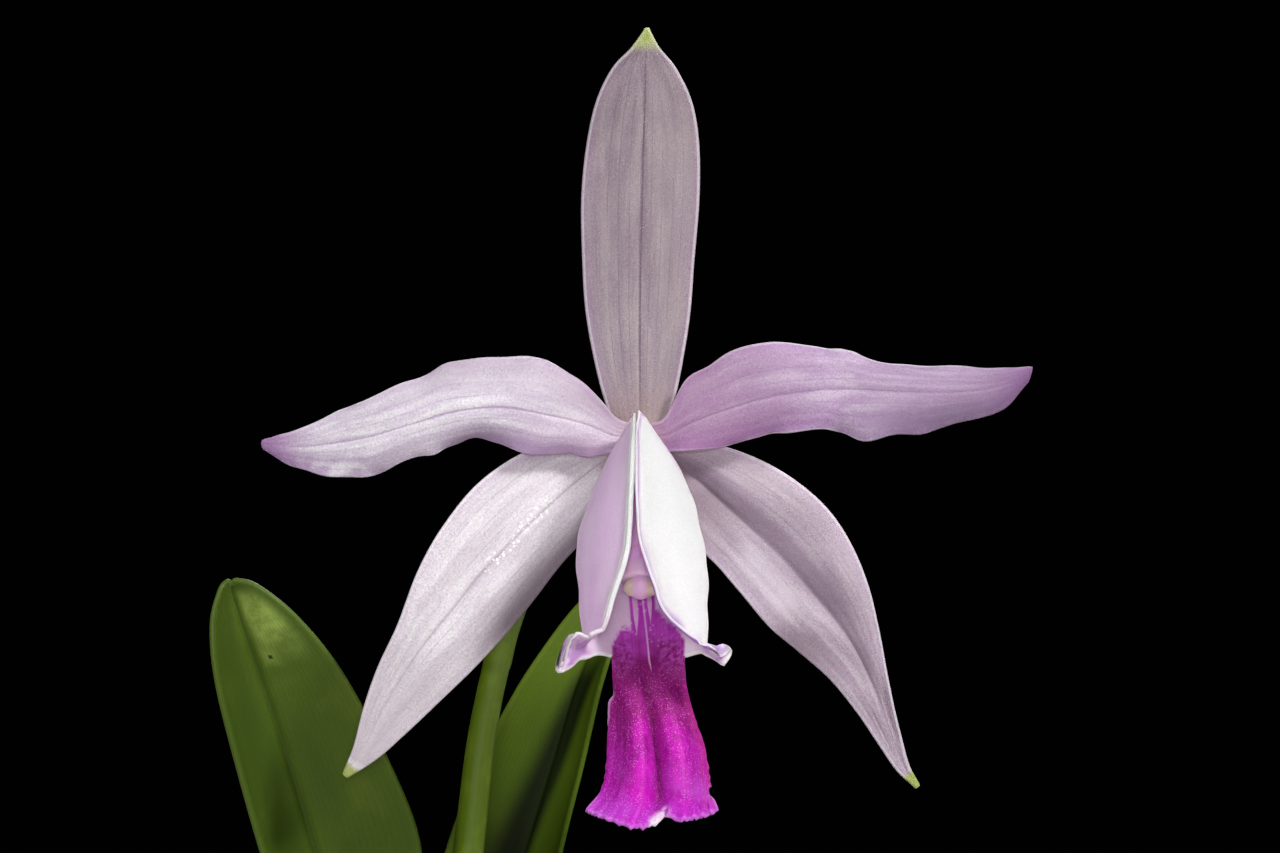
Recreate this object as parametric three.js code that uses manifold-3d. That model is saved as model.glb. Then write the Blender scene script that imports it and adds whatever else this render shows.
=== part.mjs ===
// A potted orchid, Cattleya intermedia, with one open flower.
// Millimetres, +Z up. The origin is the middle of the pot's underside, and the flower faces -Y.
// The plant is bifoliate: slender jointed pseudobulbs rise from a creeping rhizome, each with two leaves
// at its top, and the newest one carries the flower on a stalk that comes up between its leaves.
import * as THREE from "three";
import { mergeVertices } from "three/addons/utils/BufferGeometryUtils.js";
import Module from "manifold-3d";

const wasm = await Module();
wasm.setup();

// Clearance between two pieces that touch on the real plant.
const GAP = 0.35;

// Clay pot, as radii and heights above the surface it stands on.
const POT = {
  height: 108, topRadius: 61, footRadius: 44, wall: 5, floor: 7, rimHeight: 19, rimStep: 3.2,
  footBevel: 1.5, drainRadius: 5, drainRing: 25, drains: 4, drainSides: 12, sides: 28,
};

// Bark mix: the level it fills the pot to, the rings of chips that cover it, a chip's length, width and
// height, and the ranges of its size and of its corners, as shares.
const BARK = {
  top: 94.5, clear: 0.65, sides: 20, rings: [9, 22, 34, 45], spacing: 17.2,
  chip: [19, 12.5, 8.5], sizes: [0.75, 1.15], corners: [0.7, 1.1], slant: 0.5, seed: 11,
};

// Rhizome and the places on it where a pseudobulb stands.
const RHIZOME = { radius: 4.4, z: 96.5, sides: 7 };
const FEET = [[34, 22], [22, 16], [10, 8], [-2, 0], [-14, -6], [-25, -13]];

// Middle of the flower, where its petals, lip and column meet.
const FLOWER = [12, -28, 400];

// Top of the flowering pseudobulb, from the middle of the flower.
const APEX = [-35, 30, -111.5];
const inFlower = ([x, y, z]) => [FLOWER[0] + x, FLOWER[1] + y, FLOWER[2] + z];

// Pseudobulbs, oldest first: top, thickest radius, and for each leaf its direction, lean from upright,
// bend along its length, length and width.
const BULBS = [
  { top: [52, 34, 184], radius: 6.2, leaves: [[-25, 38, 34, 74, 25], [72, 34, 30, 68, 24]] },
  { top: [30, 34, 205], radius: 6.6, leaves: [[112, 44, 30, 82, 27], [-48, 30, 28, 72, 25]] },
  { top: [17, 6, 222], radius: 7.0, leaves: [[97, 36, 30, 78, 27], [-84, 40, 30, 84, 28]] },
  { top: [-9, 15, 240], radius: 7.3, leaves: [[142, 34, 32, 82, 28], [-48, 36, 34, 80, 28]] },
  { top: inFlower(APEX), radius: 7.6, leaves: [] },
];
const BULB = {
  footRadius: 4.4, waistRadius: 4.0, topRadius: 4.6, joints: 5, dip: 0.06, sheath: 0.55, bow: 2.5, sides: 8,
};

// Leaves: their widths from base to tip as shares, thickness at the edge and midrib, and how steeply
// the halves rise from the midrib at the base and further out.
const LEAF_WIDTHS = [0.22, 0.34, 0.66, 0.9, 1, 0.98, 0.84, 0.5, 0.1];
const LEAF = { thick: [1.1, 2.4], steps: 9, across: 4, foldBase: 62, foldTip: 12, offset: 2.6 };

const { Vector3 } = THREE;
const vec = (p) => new Vector3(...p);
const lerp = (a, b, t) => a + (b - a) * t;
const clamp01 = (t) => Math.min(1, Math.max(0, t));
const smooth = (a, b, t) => {
  const x = clamp01((t - a) / (b - a));
  return x * x * (3 - 2 * x);
};
const radians = (degrees) => (degrees * Math.PI) / 180;

// Repeatable random numbers from 0 to 1.
function randomFrom(seed) {
  let state = seed;
  return () => {
    state = (state * 1103515245 + 12345) % 2147483648;
    return state / 2147483648;
  };
}

// A smooth curve through points, and a smooth value through numbers.
const through = (points) => new THREE.CatmullRomCurve3(points.map(vec), false, "catmullrom", 0.5);
const valueThrough = (numbers) => {
  const curve = through(numbers.map((n) => [n, 0, 0]));
  return (t) => curve.getPoint(clamp01(t)).x;
};

function geometryOf(points, faces) {
  const geometry = new THREE.BufferGeometry();
  const numbers = points.flatMap((p) => [p.x, p.y, p.z]);
  geometry.setAttribute("position", new THREE.Float32BufferAttribute(numbers, 3));
  geometry.setIndex(faces.flat());
  geometry.computeVertexNormals();
  return geometry;
}

function solidOf(geometry) {
  const bare = new THREE.BufferGeometry().setAttribute("position", geometry.getAttribute("position"));
  if (geometry.index) bare.setIndex(geometry.index);
  const merged = mergeVertices(bare, 1e-3);
  return new wasm.Manifold(new wasm.Mesh({
    numProp: 3,
    vertProperties: merged.attributes.position.array,
    triVerts: new Uint32Array(merged.index.array),
  }));
}

// The largest body of a solid, as a geometry: what a cut leaves loose is dropped.
function geometryFrom(solid) {
  const body = solid.decompose().sort((a, b) => b.volume() - a.volume())[0];
  const mesh = body.getMesh();
  const geometry = new THREE.BufferGeometry();
  geometry.setAttribute("position", new THREE.BufferAttribute(new Float32Array(mesh.vertProperties), 3));
  geometry.setIndex(new THREE.BufferAttribute(new Uint32Array(mesh.triVerts), 1));
  geometry.computeVertexNormals();
  return geometry;
}

const cut = (geometry, ...tools) =>
  geometryFrom(tools.reduce((solid, tool) => solid.subtract(solidOf(tool)), solidOf(geometry)));
const fuse = (...geometries) =>
  geometryFrom(geometries.map(solidOf).reduce((all, solid) => all.add(solid)));

// A sheet given by its points and faces, made as thick as the function says at each point.
function thicken(points, faces, thicknessAt) {
  const normals = points.map(() => new Vector3());
  const edges = new Set();
  for (const [a, b, c] of faces) {
    const normal = points[b].clone().sub(points[a]).cross(points[c].clone().sub(points[a]));
    for (const k of [a, b, c]) normals[k].add(normal);
    for (const [from, to] of [[a, b], [b, c], [c, a]]) edges.add(from + "," + to);
  }
  const half = points.map((p, k) => normals[k].normalize().multiplyScalar(thicknessAt(k) / 2));
  const front = points.map((p, k) => p.clone().add(half[k]));
  const back = points.map((p, k) => p.clone().sub(half[k]));
  const n = points.length;
  const all = faces.flatMap(([a, b, c]) => [[a, b, c], [c + n, b + n, a + n]]);
  for (const edge of edges) {
    const [a, b] = edge.split(",").map(Number);
    if (!edges.has(b + "," + a)) all.push([b, a, a + n], [b, a + n, b + n]);
  }
  return geometryOf([...front, ...back], all);
}

// The faces of a grid of points, for the cells that keep() accepts, each split the same way.
function gridFaces(rows, columns, keep = () => true) {
  const faces = [];
  for (let i = 0; i < rows; i++)
    for (let j = 0; j < columns; j++) {
      if (!keep(i, j)) continue;
      const a = i * (columns + 1) + j;
      const b = a + 1;
      const c = a + columns + 1;
      const d = c + 1;
      faces.push([a, c, b], [b, c, d]);
    }
  return faces;
}

// Where a blade lies: u runs from its base to its tip, v from its first edge over the midrib to its last.
// Each row holds a point on the first edge, on the midrib and on the last edge. A ruffle waves the edges.
function bladeSurface({ rows, crease = 2, ruffle }) {
  const [first, mid, last] = [0, 1, 2].map((k) => through(rows.map((row) => row[k])));
  const flat = (u, v) => {
    const [f, m, l] = [first, mid, last].map((curve) => curve.getPoint(clamp01(u)));
    const lift = Math.abs(v) ** crease;
    return m.clone()
      .addScaledVector(l.clone().sub(f), v / 2)
      .addScaledVector(l.add(f).multiplyScalar(0.5).sub(m), lift);
  };
  if (!ruffle) return flat;
  const step = 0.01;
  return (u, v) => {
    const p = flat(u, v);
    const along = flat(Math.min(1, u + step), v).sub(flat(Math.max(0, u - step), v));
    const across = flat(u, v + step).sub(flat(u, v - step));
    const phase = ruffle.phase + (v < 0 ? 0 : ruffle.shift);
    const wave = Math.sin(2 * Math.PI * ruffle.waves * u + phase);
    const size = ruffle.height * wave * Math.abs(v) ** 3 * Math.sin(Math.PI * u);
    return p.addScaledVector(across.cross(along).normalize(), size);
  };
}

// A petal, sepal or leaf: thick = [at its edges, along its midrib]. It thins towards its tip.
function blade({ steps, across, thick, grow = 0, ...shape }) {
  const surface = bladeSurface(shape);
  const [edge, middle] = thick;
  const points = [];
  const thicknesses = [];
  for (let i = 0; i <= steps; i++)
    for (let j = 0; j <= across; j++) {
      const v = (2 * j) / across - 1;
      points.push(surface(i / steps, v * (1 + grow / 8)));
      thicknesses.push(lerp(lerp(middle, edge, v * v), edge, smooth(0.6, 1, i / steps)) + 2 * grow);
    }
  return thicken(points, gridFaces(steps, across), (k) => thicknesses[k]);
}

// Even steps from 0 to 1.
const evenly = (count) => Array.from({ length: count + 1 }, (_, k) => k / count);

// A solid of rings round a curve. The radius is a function of u along it and of the angle round it.
function loft({ path, radiusAt, sides, places, widen = 1, turn = 0, grow = 0 }) {
  const curve = through(path);
  const points = [];
  const faces = [];
  places.forEach((u) => {
    const tangent = curve.getTangent(clamp01(u));
    const reference = new Vector3(Math.cos(turn), Math.sin(turn), 0);
    const normal = reference.addScaledVector(tangent, -reference.dot(tangent)).normalize();
    const side = tangent.clone().cross(normal);
    const middle = curve.getPoint(clamp01(u));
    for (let j = 0; j < sides; j++) {
      const angle = (2 * Math.PI * j) / sides;
      const radius = radiusAt(u, angle) + grow;
      points.push(middle.clone()
        .addScaledVector(normal, radius * widen * Math.cos(angle))
        .addScaledVector(side, radius * Math.sin(angle)));
    }
  });
  const last = (places.length - 1) * sides;
  for (let k = 0; k < places.length - 1; k++)
    for (let j = 0; j < sides; j++) {
      const [a, b] = [k * sides + j, k * sides + ((j + 1) % sides)];
      faces.push([a, b, b + sides], [a, b + sides, a + sides]);
    }
  points.push(curve.getPoint(0), curve.getPoint(1));
  const [startCap, endCap] = [points.length - 2, points.length - 1];
  for (let j = 0; j < sides; j++) {
    faces.push([startCap, (j + 1) % sides, j], [endCap, last + j, last + ((j + 1) % sides)]);
  }
  return geometryOf(points, faces);
}

const group = new THREE.Group();
const PAINT = {
  clay: { color: 0xb4643c, roughness: 0.85 },
  bark: { color: 0x5b3a26, roughness: 0.95 },
  rhizome: { color: 0x7d7f4c, roughness: 0.8 },
  bulb: { color: 0x7f9147, roughness: 0.6 },
  leaf: { color: 0x4b6f27, roughness: 0.45 },
  stalk: { color: 0x6f8f2b, roughness: 0.5 },
  sepal: { color: 0xd9c9d6, roughness: 0.55 },
  petal: { color: 0xdcc3de, roughness: 0.55 },
  lip: { color: 0xc98fcf, roughness: 0.5 },
  column: { color: 0xf0d6e6, roughness: 0.5 },
  anther: { color: 0xf1ead0, roughness: 0.5 },
};
function add(name, geometry, paint) {
  const mesh = new THREE.Mesh(geometry, new THREE.MeshStandardMaterial({ ...PAINT[paint], metalness: 0 }));
  mesh.name = name;
  group.add(mesh);
}

// Pot

// Outer radius of the pot's wall, and of the space inside it, at a height.
const potWall = (z) => lerp(POT.footRadius, POT.topRadius - POT.rimStep, z / (POT.height - POT.rimHeight));
const potInside = (z) => lerp(POT.footRadius - POT.wall, POT.topRadius - POT.wall, z / POT.height);

function lathe(profile, sides) {
  const points = profile.map(([r, z]) => new THREE.Vector2(r, z));
  return new THREE.LatheGeometry(points, sides).rotateX(Math.PI / 2);
}

function pot() {
  const rimFoot = POT.height - POT.rimHeight;
  const profile = [
    [0, 0], [POT.footRadius - POT.footBevel, 0], [POT.footRadius, POT.footBevel],
    [potWall(rimFoot), rimFoot], [POT.topRadius - 0.8, rimFoot + 1.5], [POT.topRadius, rimFoot + 4],
    [POT.topRadius + 0.6, POT.height - 3], [POT.topRadius - 0.6, POT.height - 0.8],
    [POT.topRadius - 2.2, POT.height], [potInside(POT.height) + 0.8, POT.height - 0.6],
    [potInside(POT.height), POT.height - 2.6], [potInside(POT.floor), POT.floor], [0, POT.floor],
  ];
  const drains = Array.from({ length: POT.drains }, (_, k) => {
    const angle = (2 * Math.PI * (k + 0.5)) / POT.drains;
    return new THREE.CylinderGeometry(POT.drainRadius, POT.drainRadius, 3 * POT.floor, POT.drainSides)
      .rotateX(Math.PI / 2)
      .translate(POT.drainRing * Math.cos(angle), POT.drainRing * Math.sin(angle), POT.floor / 2);
  });
  return cut(lathe(profile, POT.sides), ...drains);
}
add("pot", pot(), "clay");

// Rhizome and roots

// Roots leave the rhizome sideways and dive into the bark, or climb over the rim and hang outside.
// Each: the foot it starts from, its direction, how far it runs, and how much it turns on the way.
const ROOTS = [
  { foot: 4, direction: -78, reach: 44, turn: 26 },
  { foot: 4, direction: 168, reach: 34, turn: -30 },
  { foot: 3, direction: -42, reach: 60, turn: 16, over: true },
  { foot: 3, direction: 120, reach: 45, turn: 24 },
  { foot: 2, direction: -70, reach: 46, turn: -22 },
  { foot: 1, direction: 96, reach: 28, turn: 20 },
  { foot: 5, direction: -140, reach: 52, turn: 10, over: true },
];
const ROOT = {
  radius: 1.7, sides: 5, stride: 6, lie: 98.6, sway: 0.8, dive: 7, hang: 46, clear: 2.6,
  wallMargin: 13, rimMargin: 7,
};

function rootPath({ foot, direction, reach, turn, over = false }) {
  let [x, y] = FEET[foot];
  const start = Math.hypot(x, y);
  const path = [[x, y, RHIZOME.z]];
  const steps = reach / ROOT.stride;
  const heading = (t) => radians(direction + turn * t);
  const limit = potInside(POT.height) - (over ? ROOT.rimMargin : ROOT.wallMargin);
  while (Math.hypot(x, y) < limit && path.length < steps + 1) {
    x += ROOT.stride * Math.cos(heading(path.length / steps));
    y += ROOT.stride * Math.sin(heading(path.length / steps));
    path.push([x, y, ROOT.lie + ROOT.sway * Math.sin(path.length * 1.9 + start)]);
  }
  if (!over) {
    const [ahead, aside] = [Math.cos(heading(1)), Math.sin(heading(1))];
    path.push([x + ROOT.stride * ahead, y + ROOT.stride * aside, ROOT.lie - ROOT.dive]);
    return path;
  }
  const angle = Math.atan2(y, x);
  const crest = POT.height + ROOT.radius + ROOT.clear;
  const outer = POT.topRadius + ROOT.radius + ROOT.clear;
  const place = (r, z, sway = 0) => [r * Math.cos(angle + sway), r * Math.sin(angle + sway), z];
  path.push(place(potInside(POT.height) - 1, crest - 0.5), place(POT.topRadius - 0.5, crest + 1));
  path.push(place(outer + 1, POT.height - 3), place(outer + 0.8, POT.height - 14, 0.04));
  path.push(place(outer - 0.5, POT.height - 28, 0.1), place(outer - 2.5, POT.height - ROOT.hang, 0.12));
  return path;
}

function rhizomePlant(grow) {
  const line = FEET.map(([x, y]) => [x, y, RHIZOME.z]);
  const before = [line[0][0] + 7, line[0][1] + 4, RHIZOME.z - 2];
  const after = [line.at(-1)[0] - 5, line.at(-1)[1] - 3, RHIZOME.z + 1];
  const ends = (u) => (u < 0.01 || u > 0.99 ? 0.55 : 1);
  const joints = (u) => 0.86 + 0.14 * Math.cos(u * 2 * Math.PI * (FEET.length + 1));
  const stem = loft({
    path: [before, ...line, after],
    radiusAt: (u) => RHIZOME.radius * joints(u) * ends(u),
    sides: RHIZOME.sides, places: evenly(19), grow,
  });
  const roots = ROOTS.map((root) => loft({
    path: rootPath(root),
    radiusAt: (u) => ROOT.radius * (u > 0.98 ? 0.55 : 1),
    sides: ROOT.sides, places: evenly(root.over ? 17 : 9), grow, turn: radians(root.direction + 90),
  }));
  return fuse(stem, ...roots);
}
const rhizomeCutter = rhizomePlant(GAP);
add("rhizome_and_roots", rhizomePlant(0), "rhizome");

// Pseudobulbs

// A pseudobulb is slender at its foot, thickest at two thirds of its height and jointed, with a dry sheath
// that clasps each joint and ends a little short of the next one.
function bulbRadius(thickest) {
  const shares = [0.72, 0.93, 1, 0.9].map((share) => share * thickest);
  const body = valueThrough([BULB.footRadius, BULB.waistRadius, ...shares, BULB.topRadius]);
  const dip = (distance) => BULB.dip * Math.exp(-((distance * 9) ** 2));
  return (u, angle) => {
    const joint = Math.floor(u * BULB.joints);
    const share = u * BULB.joints - joint;
    const sheathEnd = u < 0.9 ? 0.74 + 0.1 * Math.cos(angle + 2.4 * joint) : 0;
    const sheath = share < sheathEnd ? BULB.sheath : 0;
    const top = u > 0.995 ? 0.6 : 1;
    return top * (body(u) * (1 - dip(share) - dip(1 - share)) + sheath);
  };
}

// The axis of a pseudobulb, as shares of its way from the rhizome to its top, and of its bow to one side.
const BULB_AXIS = [
  [0, 0, 0, 0], [0.2, 0.14, 0.25, 0.4], [0.5, 0.42, 0.5, 1], [0.8, 0.74, 0.76, 0.6], [1, 1, 1, 0],
];
function bulbPath(index) {
  const foot = vec([...FEET[index], RHIZOME.z]);
  const top = vec(BULBS[index].top);
  const bow = index % 2 ? BULB.bow : -BULB.bow;
  const place = (x, y, z, bend) =>
    [lerp(foot.x, top.x, x) + bow * bend, lerp(foot.y, top.y, y), lerp(foot.z, top.z, z)];
  return BULB_AXIS.map((shares) => place(...shares));
}

// Rings at each joint and round the end of its sheath.
const jointRings = (joint) => [0, 0.4, 0.72, 0.86].map((share) => (joint + share) / BULB.joints);
const bulbPlaces = [...Array.from({ length: BULB.joints }, (_, joint) => jointRings(joint)).flat(), 0.985, 1];

function bulb(index, grow = 0) {
  const radiusAt = bulbRadius(BULBS[index].radius);
  return loft({ path: bulbPath(index), radiusAt, sides: BULB.sides, places: bulbPlaces, grow });
}
BULBS.forEach((_, index) => add("pseudobulb_" + (index + 1), cut(bulb(index), rhizomeCutter), "bulb"));

// A new shoot at the growing end of the rhizome, wrapped in its pointed sheaths.
const SHOOT = { height: 34, radius: 4.2, sheaths: 3, lean: 3 };
function shoot(grow = 0) {
  const [x, y] = FEET.at(-1);
  const place = (lean, back, rise) => [x - SHOOT.lean * lean, y - back, RHIZOME.z + SHOOT.height * rise];
  return loft({
    path: [place(0, 0, 0), place(0.5, 1, 0.33), place(1, 1, 0.67), place(1, -1, 1)],
    radiusAt: (u) => SHOOT.radius * (1 - 0.86 * u ** 2.2) * (1 + 0.1 * ((u * SHOOT.sheaths) % 1)),
    sides: 8, places: evenly(9), grow, widen: 1.15,
  });
}
add("new_shoot", cut(shoot(), rhizomeCutter), "leaf");

// Bark mix

// A chip is a block with its corners moved, lying at a random slant.
function chip(place, random) {
  const draw = ([low, high]) => lerp(low, high, random());
  const box = new THREE.BoxGeometry(...BARK.chip.map((size) => size * draw(BARK.sizes)));
  const corners = new Map();
  const position = box.getAttribute("position");
  for (let k = 0; k < position.count; k++) {
    const corner = new Vector3().fromBufferAttribute(position, k);
    const key = corner.toArray().map(Math.sign).join();
    if (!corners.has(key)) corners.set(key, corner.multiply(vec([0, 0, 0].map(() => draw(BARK.corners)))));
    position.setXYZ(k, ...corners.get(key).toArray());
  }
  return box
    .rotateX(draw([-BARK.slant, BARK.slant]))
    .rotateY(draw([-BARK.slant, BARK.slant]))
    .rotateZ(random() * Math.PI)
    .translate(...place);
}

// The inside of the pot up to a height, a little clear of its wall and floor.
function potFilling(top) {
  const [low, foot] = [POT.floor + GAP, potInside(POT.floor) - BARK.clear];
  return lathe([[0, low], [foot, low], [potInside(top) - BARK.clear, top], [0, top]], BARK.sides);
}

function bark() {
  const random = randomFrom(BARK.seed);
  const chips = BARK.rings.flatMap((ring) => {
    const count = Math.round((2 * Math.PI * ring) / BARK.spacing);
    return Array.from({ length: count }, (_, k) => {
      const angle = (2 * Math.PI * (k + 0.6 * random())) / count + ring;
      const r = ring + lerp(-1.5, 1.5, random());
      const height = BARK.top + lerp(-1.2, 1.6, random());
      return chip([r * Math.cos(angle), r * Math.sin(angle), height], random);
    });
  });
  const heap = [potFilling(BARK.top), ...chips].map(solidOf).reduce((all, solid) => all.add(solid));
  const mix = geometryFrom(heap.intersect(solidOf(potFilling(POT.height))));
  return cut(mix, rhizomeCutter, ...BULBS.map((_, index) => bulb(index, GAP)), shoot(GAP));
}
add("bark_mix", bark(), "bark");

// Flower stalk

// Centre line of the stalk from the middle of the flower: first its stem, then the ovary that bends to the
// flower's back.
const STALK_PATH = [
  [-34.6, 30, -111.5], [-30.8, 29, -94], [-28, 27.5, -78], [-25.7, 26, -63], [-23.8, 24.5, -47],
  [-21.6, 23, -36], [-19, 21.5, -26.5], [-14.4, 19.4, -15], [-8.6, 15.6, -6], [-3.6, 9.4, -1.4],
  [-0.4, 2.4, -0.2],
].map(inFlower);
const STALK = { sides: 9, rings: 23, ribs: 3, ribHeight: 0.05 };
const stalkRadius = valueThrough([2.7, 2.5, 2.4, 2.3, 2.1, 2.0, 2.1, 2.2, 2.4, 2.7, 2.5]);
const ovaryRib = (u, angle) => STALK.ribHeight * smooth(0.55, 0.8, u) * Math.cos(STALK.ribs * angle);
const stalk = (grow = 0) => loft({
  path: STALK_PATH,
  radiusAt: (u, angle) => stalkRadius(u) * (1 + ovaryRib(u, angle)) * (u > 0.995 ? 0.7 : 1),
  sides: STALK.sides, places: [...evenly(STALK.rings).slice(0, -1), 0.985, 1], grow,
});
const stalkCutter = stalk(GAP);
add("flower_stalk", cut(stalk(), bulb(4, GAP)), "stalk");

// The spathe, a flat sheath round the foot of the stalk.
const SPATHE = { end: 0.25, sides: 10, widen: 1.35, turn: 30 };
const spatheRadius = valueThrough([3.6, 4.5, 4.8, 4.5, 3.45, 1.65]);
const spathe = (grow = 0) => loft({
  path: evenly(3).map((t) => through(STALK_PATH).getPoint(t * SPATHE.end).toArray()),
  radiusAt: spatheRadius, sides: SPATHE.sides, places: evenly(9),
  widen: SPATHE.widen, turn: radians(SPATHE.turn), grow,
});
add("spathe", cut(spathe(), bulb(4, GAP), stalkCutter), "stalk");

// Leaves

// Rows of a leaf that leans out in a direction and bends further along its length.
function leafRows([x, y, z], [direction, lean, bend, length, width]) {
  const heading = radians(direction);
  const out = new Vector3(Math.cos(heading), Math.sin(heading), 0);
  const side = new Vector3(-Math.sin(heading), Math.cos(heading), 0);
  const place = new Vector3(x, y, z).addScaledVector(out, LEAF.offset);
  return LEAF_WIDTHS.map((share, k) => {
    const u = k / (LEAF_WIDTHS.length - 1);
    const tilt = radians(lean * Math.min(1, 0.35 + 2 * u) + bend * u);
    const along = out.clone().multiplyScalar(Math.sin(tilt)).setZ(Math.cos(tilt));
    const inward = out.clone().multiplyScalar(-Math.cos(tilt)).setZ(Math.sin(tilt));
    const fold = radians(lerp(LEAF.foldBase, LEAF.foldTip, smooth(0, 0.5, u)));
    const half = (share * width) / 2;
    const row = [-1, 0, 1].map((s) => place.clone()
      .addScaledVector(side, s * half * Math.cos(fold))
      .addScaledVector(inward, Math.abs(s) * half * Math.sin(fold)).toArray());
    place.addScaledVector(along, length / (LEAF_WIDTHS.length - 1));
    return row;
  });
}

// The two leaves behind the flower, from the middle of the flower.
const FLOWER_LEAVES = {
  left: [
    [[-38.6, 27.6, -109], [-37.6, 29.6, -110.5], [-36.6, 26.6, -109]],
    [[-44.2, 22.4, -95], [-40.6, 27.6, -95], [-36.4, 22.6, -95]],
    [[-50.2, 17, -78.5], [-44.6, 24.5, -78], [-33.2, 20, -78]],
    [[-55, 14, -63], [-48.4, 22, -62.4], [-31.9, 18, -62]],
    [[-58.8, 11.5, -48.5], [-52.2, 19, -48], [-37, 15.5, -47.6]],
    [[-61.5, 9.6, -36.5], [-56, 16.5, -36], [-43.1, 13.5, -35.6]],
    [[-62.2, 9.4, -28.4], [-58.2, 14, -28.2], [-49.2, 11.8, -27.6]],
    [[-61.2, 10, -23.6], [-59.5, 12.5, -23.6], [-54.8, 11, -22.8]],
    [[-60.2, 11.4, -21.6], [-59.6, 11.8, -22.2], [-58.4, 11.2, -21.4]],
  ],
  right: [
    [[-34.6, 33.6, -109], [-32.8, 34.2, -110.5], [-31.8, 31.4, -109]],
    [[-35.6, 36, -96], [-27.4, 37.6, -96], [-21.2, 32.6, -96]],
    [[-34, 40, -80], [-21.8, 42, -80], [-14.8, 35, -80]],
    [[-30.4, 44.6, -65], [-17.6, 47, -65], [-12.2, 39, -65]],
    [[-25, 49, -52], [-13.6, 51.4, -52], [-9, 43.6, -52]],
    [[-18.8, 52, -41.6], [-10.4, 54.6, -41.6], [-6.6, 47.6, -41.6]],
    [[-13.2, 55, -34], [-7.4, 57.4, -34], [-4.4, 52, -34]],
    [[-8.6, 58.4, -28.4], [-5.4, 59.8, -28.4], [-3.4, 56.6, -28.4]],
    [[-5.6, 60.8, -25.4], [-4.6, 61, -25.2], [-3.8, 60.4, -25.4]],
  ],
};

const leafBlade = (rows, grow = 0) =>
  blade({ rows, crease: 1.5, steps: LEAF.steps, across: LEAF.across, thick: LEAF.thick, grow });
BULBS.forEach(({ top, leaves }, index) =>
  leaves.forEach((shape, k) => {
    const sister = k ? [leafBlade(leafRows(top, leaves[0]), GAP)] : [];
    const clear = cut(leafBlade(leafRows(top, shape)), bulb(index, GAP), ...sister);
    add("leaf_" + (index + 1) + "ab"[k], clear, "leaf");
  }));
const flowerLeafCutters = [bulb(4, GAP), stalkCutter, spathe(GAP)];
const flowerLeaf = (rows) => cut(leafBlade(rows.map((row) => row.map(inFlower))), ...flowerLeafCutters);
add("leaf_5a", flowerLeaf(FLOWER_LEAVES.left), "leaf");
add("leaf_5b", flowerLeaf(FLOWER_LEAVES.right), "leaf");

// Sepals and petals, as rows of first edge, midrib and last edge from the middle of the flower

const DORSAL_SEPAL = [
  [[-3.6, 1.1, -0.6], [0, 1.4, -0.9], [3.6, 1.1, -0.6]],
  [[-6, 2.4, 7.4], [0, 3.8, 7.4], [5.7, 2.4, 7.4]],
  [[-7.7, 4.2, 16], [0, 5.6, 16], [7.1, 4.2, 16]],
  [[-8.3, 5.2, 24], [0.1, 6.4, 24], [7.8, 5.2, 24]],
  [[-8.5, 5.4, 33], [0.3, 6.6, 33], [8.5, 5.4, 33]],
  [[-7.7, 5, 41], [0.5, 6, 41], [8.5, 5, 41]],
  [[-6.4, 4.2, 47], [0.7, 5, 47], [7.5, 4.2, 47]],
  [[-4.1, 3.4, 51.6], [0.8, 3.9, 51.8], [5.3, 3.4, 51.6]],
  [[-1.5, 2.8, 54.4], [0.9, 3.1, 54.6], [2.9, 2.8, 54.4]],
  [[0.6, 2.2, 57.6], [1, 2.2, 57.8], [1.4, 2.2, 57.6]],
];
const LATERAL_SEPAL_LEFT = [
  [[-3.9, 2.4, -1.6], [-3, 2.9, -3], [-1.4, 2.4, -3.9]],
  [[-8.6, 2, -1.6], [-6.8, 2.7, -5.6], [-3.8, 1.8, -8.6]],
  [[-15.6, 1, -2.7], [-12, 1.7, -9.9], [-7.2, 0.7, -14.4]],
  [[-22.6, 0, -7.1], [-17.6, 0.9, -15.2], [-11.2, -0.2, -19]],
  [[-27.9, -0.7, -13.5], [-22.6, 0.2, -20.5], [-15.2, -0.4, -24.3]],
  [[-31.4, -0.7, -19.8], [-27, 0.2, -26], [-19.2, 0, -29.2]],
  [[-34.3, -0.1, -27.6], [-31.1, 0.5, -31], [-23.8, 0.6, -34.3]],
  [[-37.2, 0.9, -33.8], [-34.3, 1.4, -35.9], [-28.9, 1.6, -39.3]],
  [[-39.3, 1.9, -39.8], [-37.3, 2.4, -41], [-33.6, 2.6, -43.8]],
  [[-40.8, 3.1, -45.2], [-39.8, 3.5, -46], [-37.6, 3.6, -47.3]],
  [[-42.6, 4.8, -49.2], [-42.4, 4.9, -49.7], [-41.8, 4.9, -49.9]],
];
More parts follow.
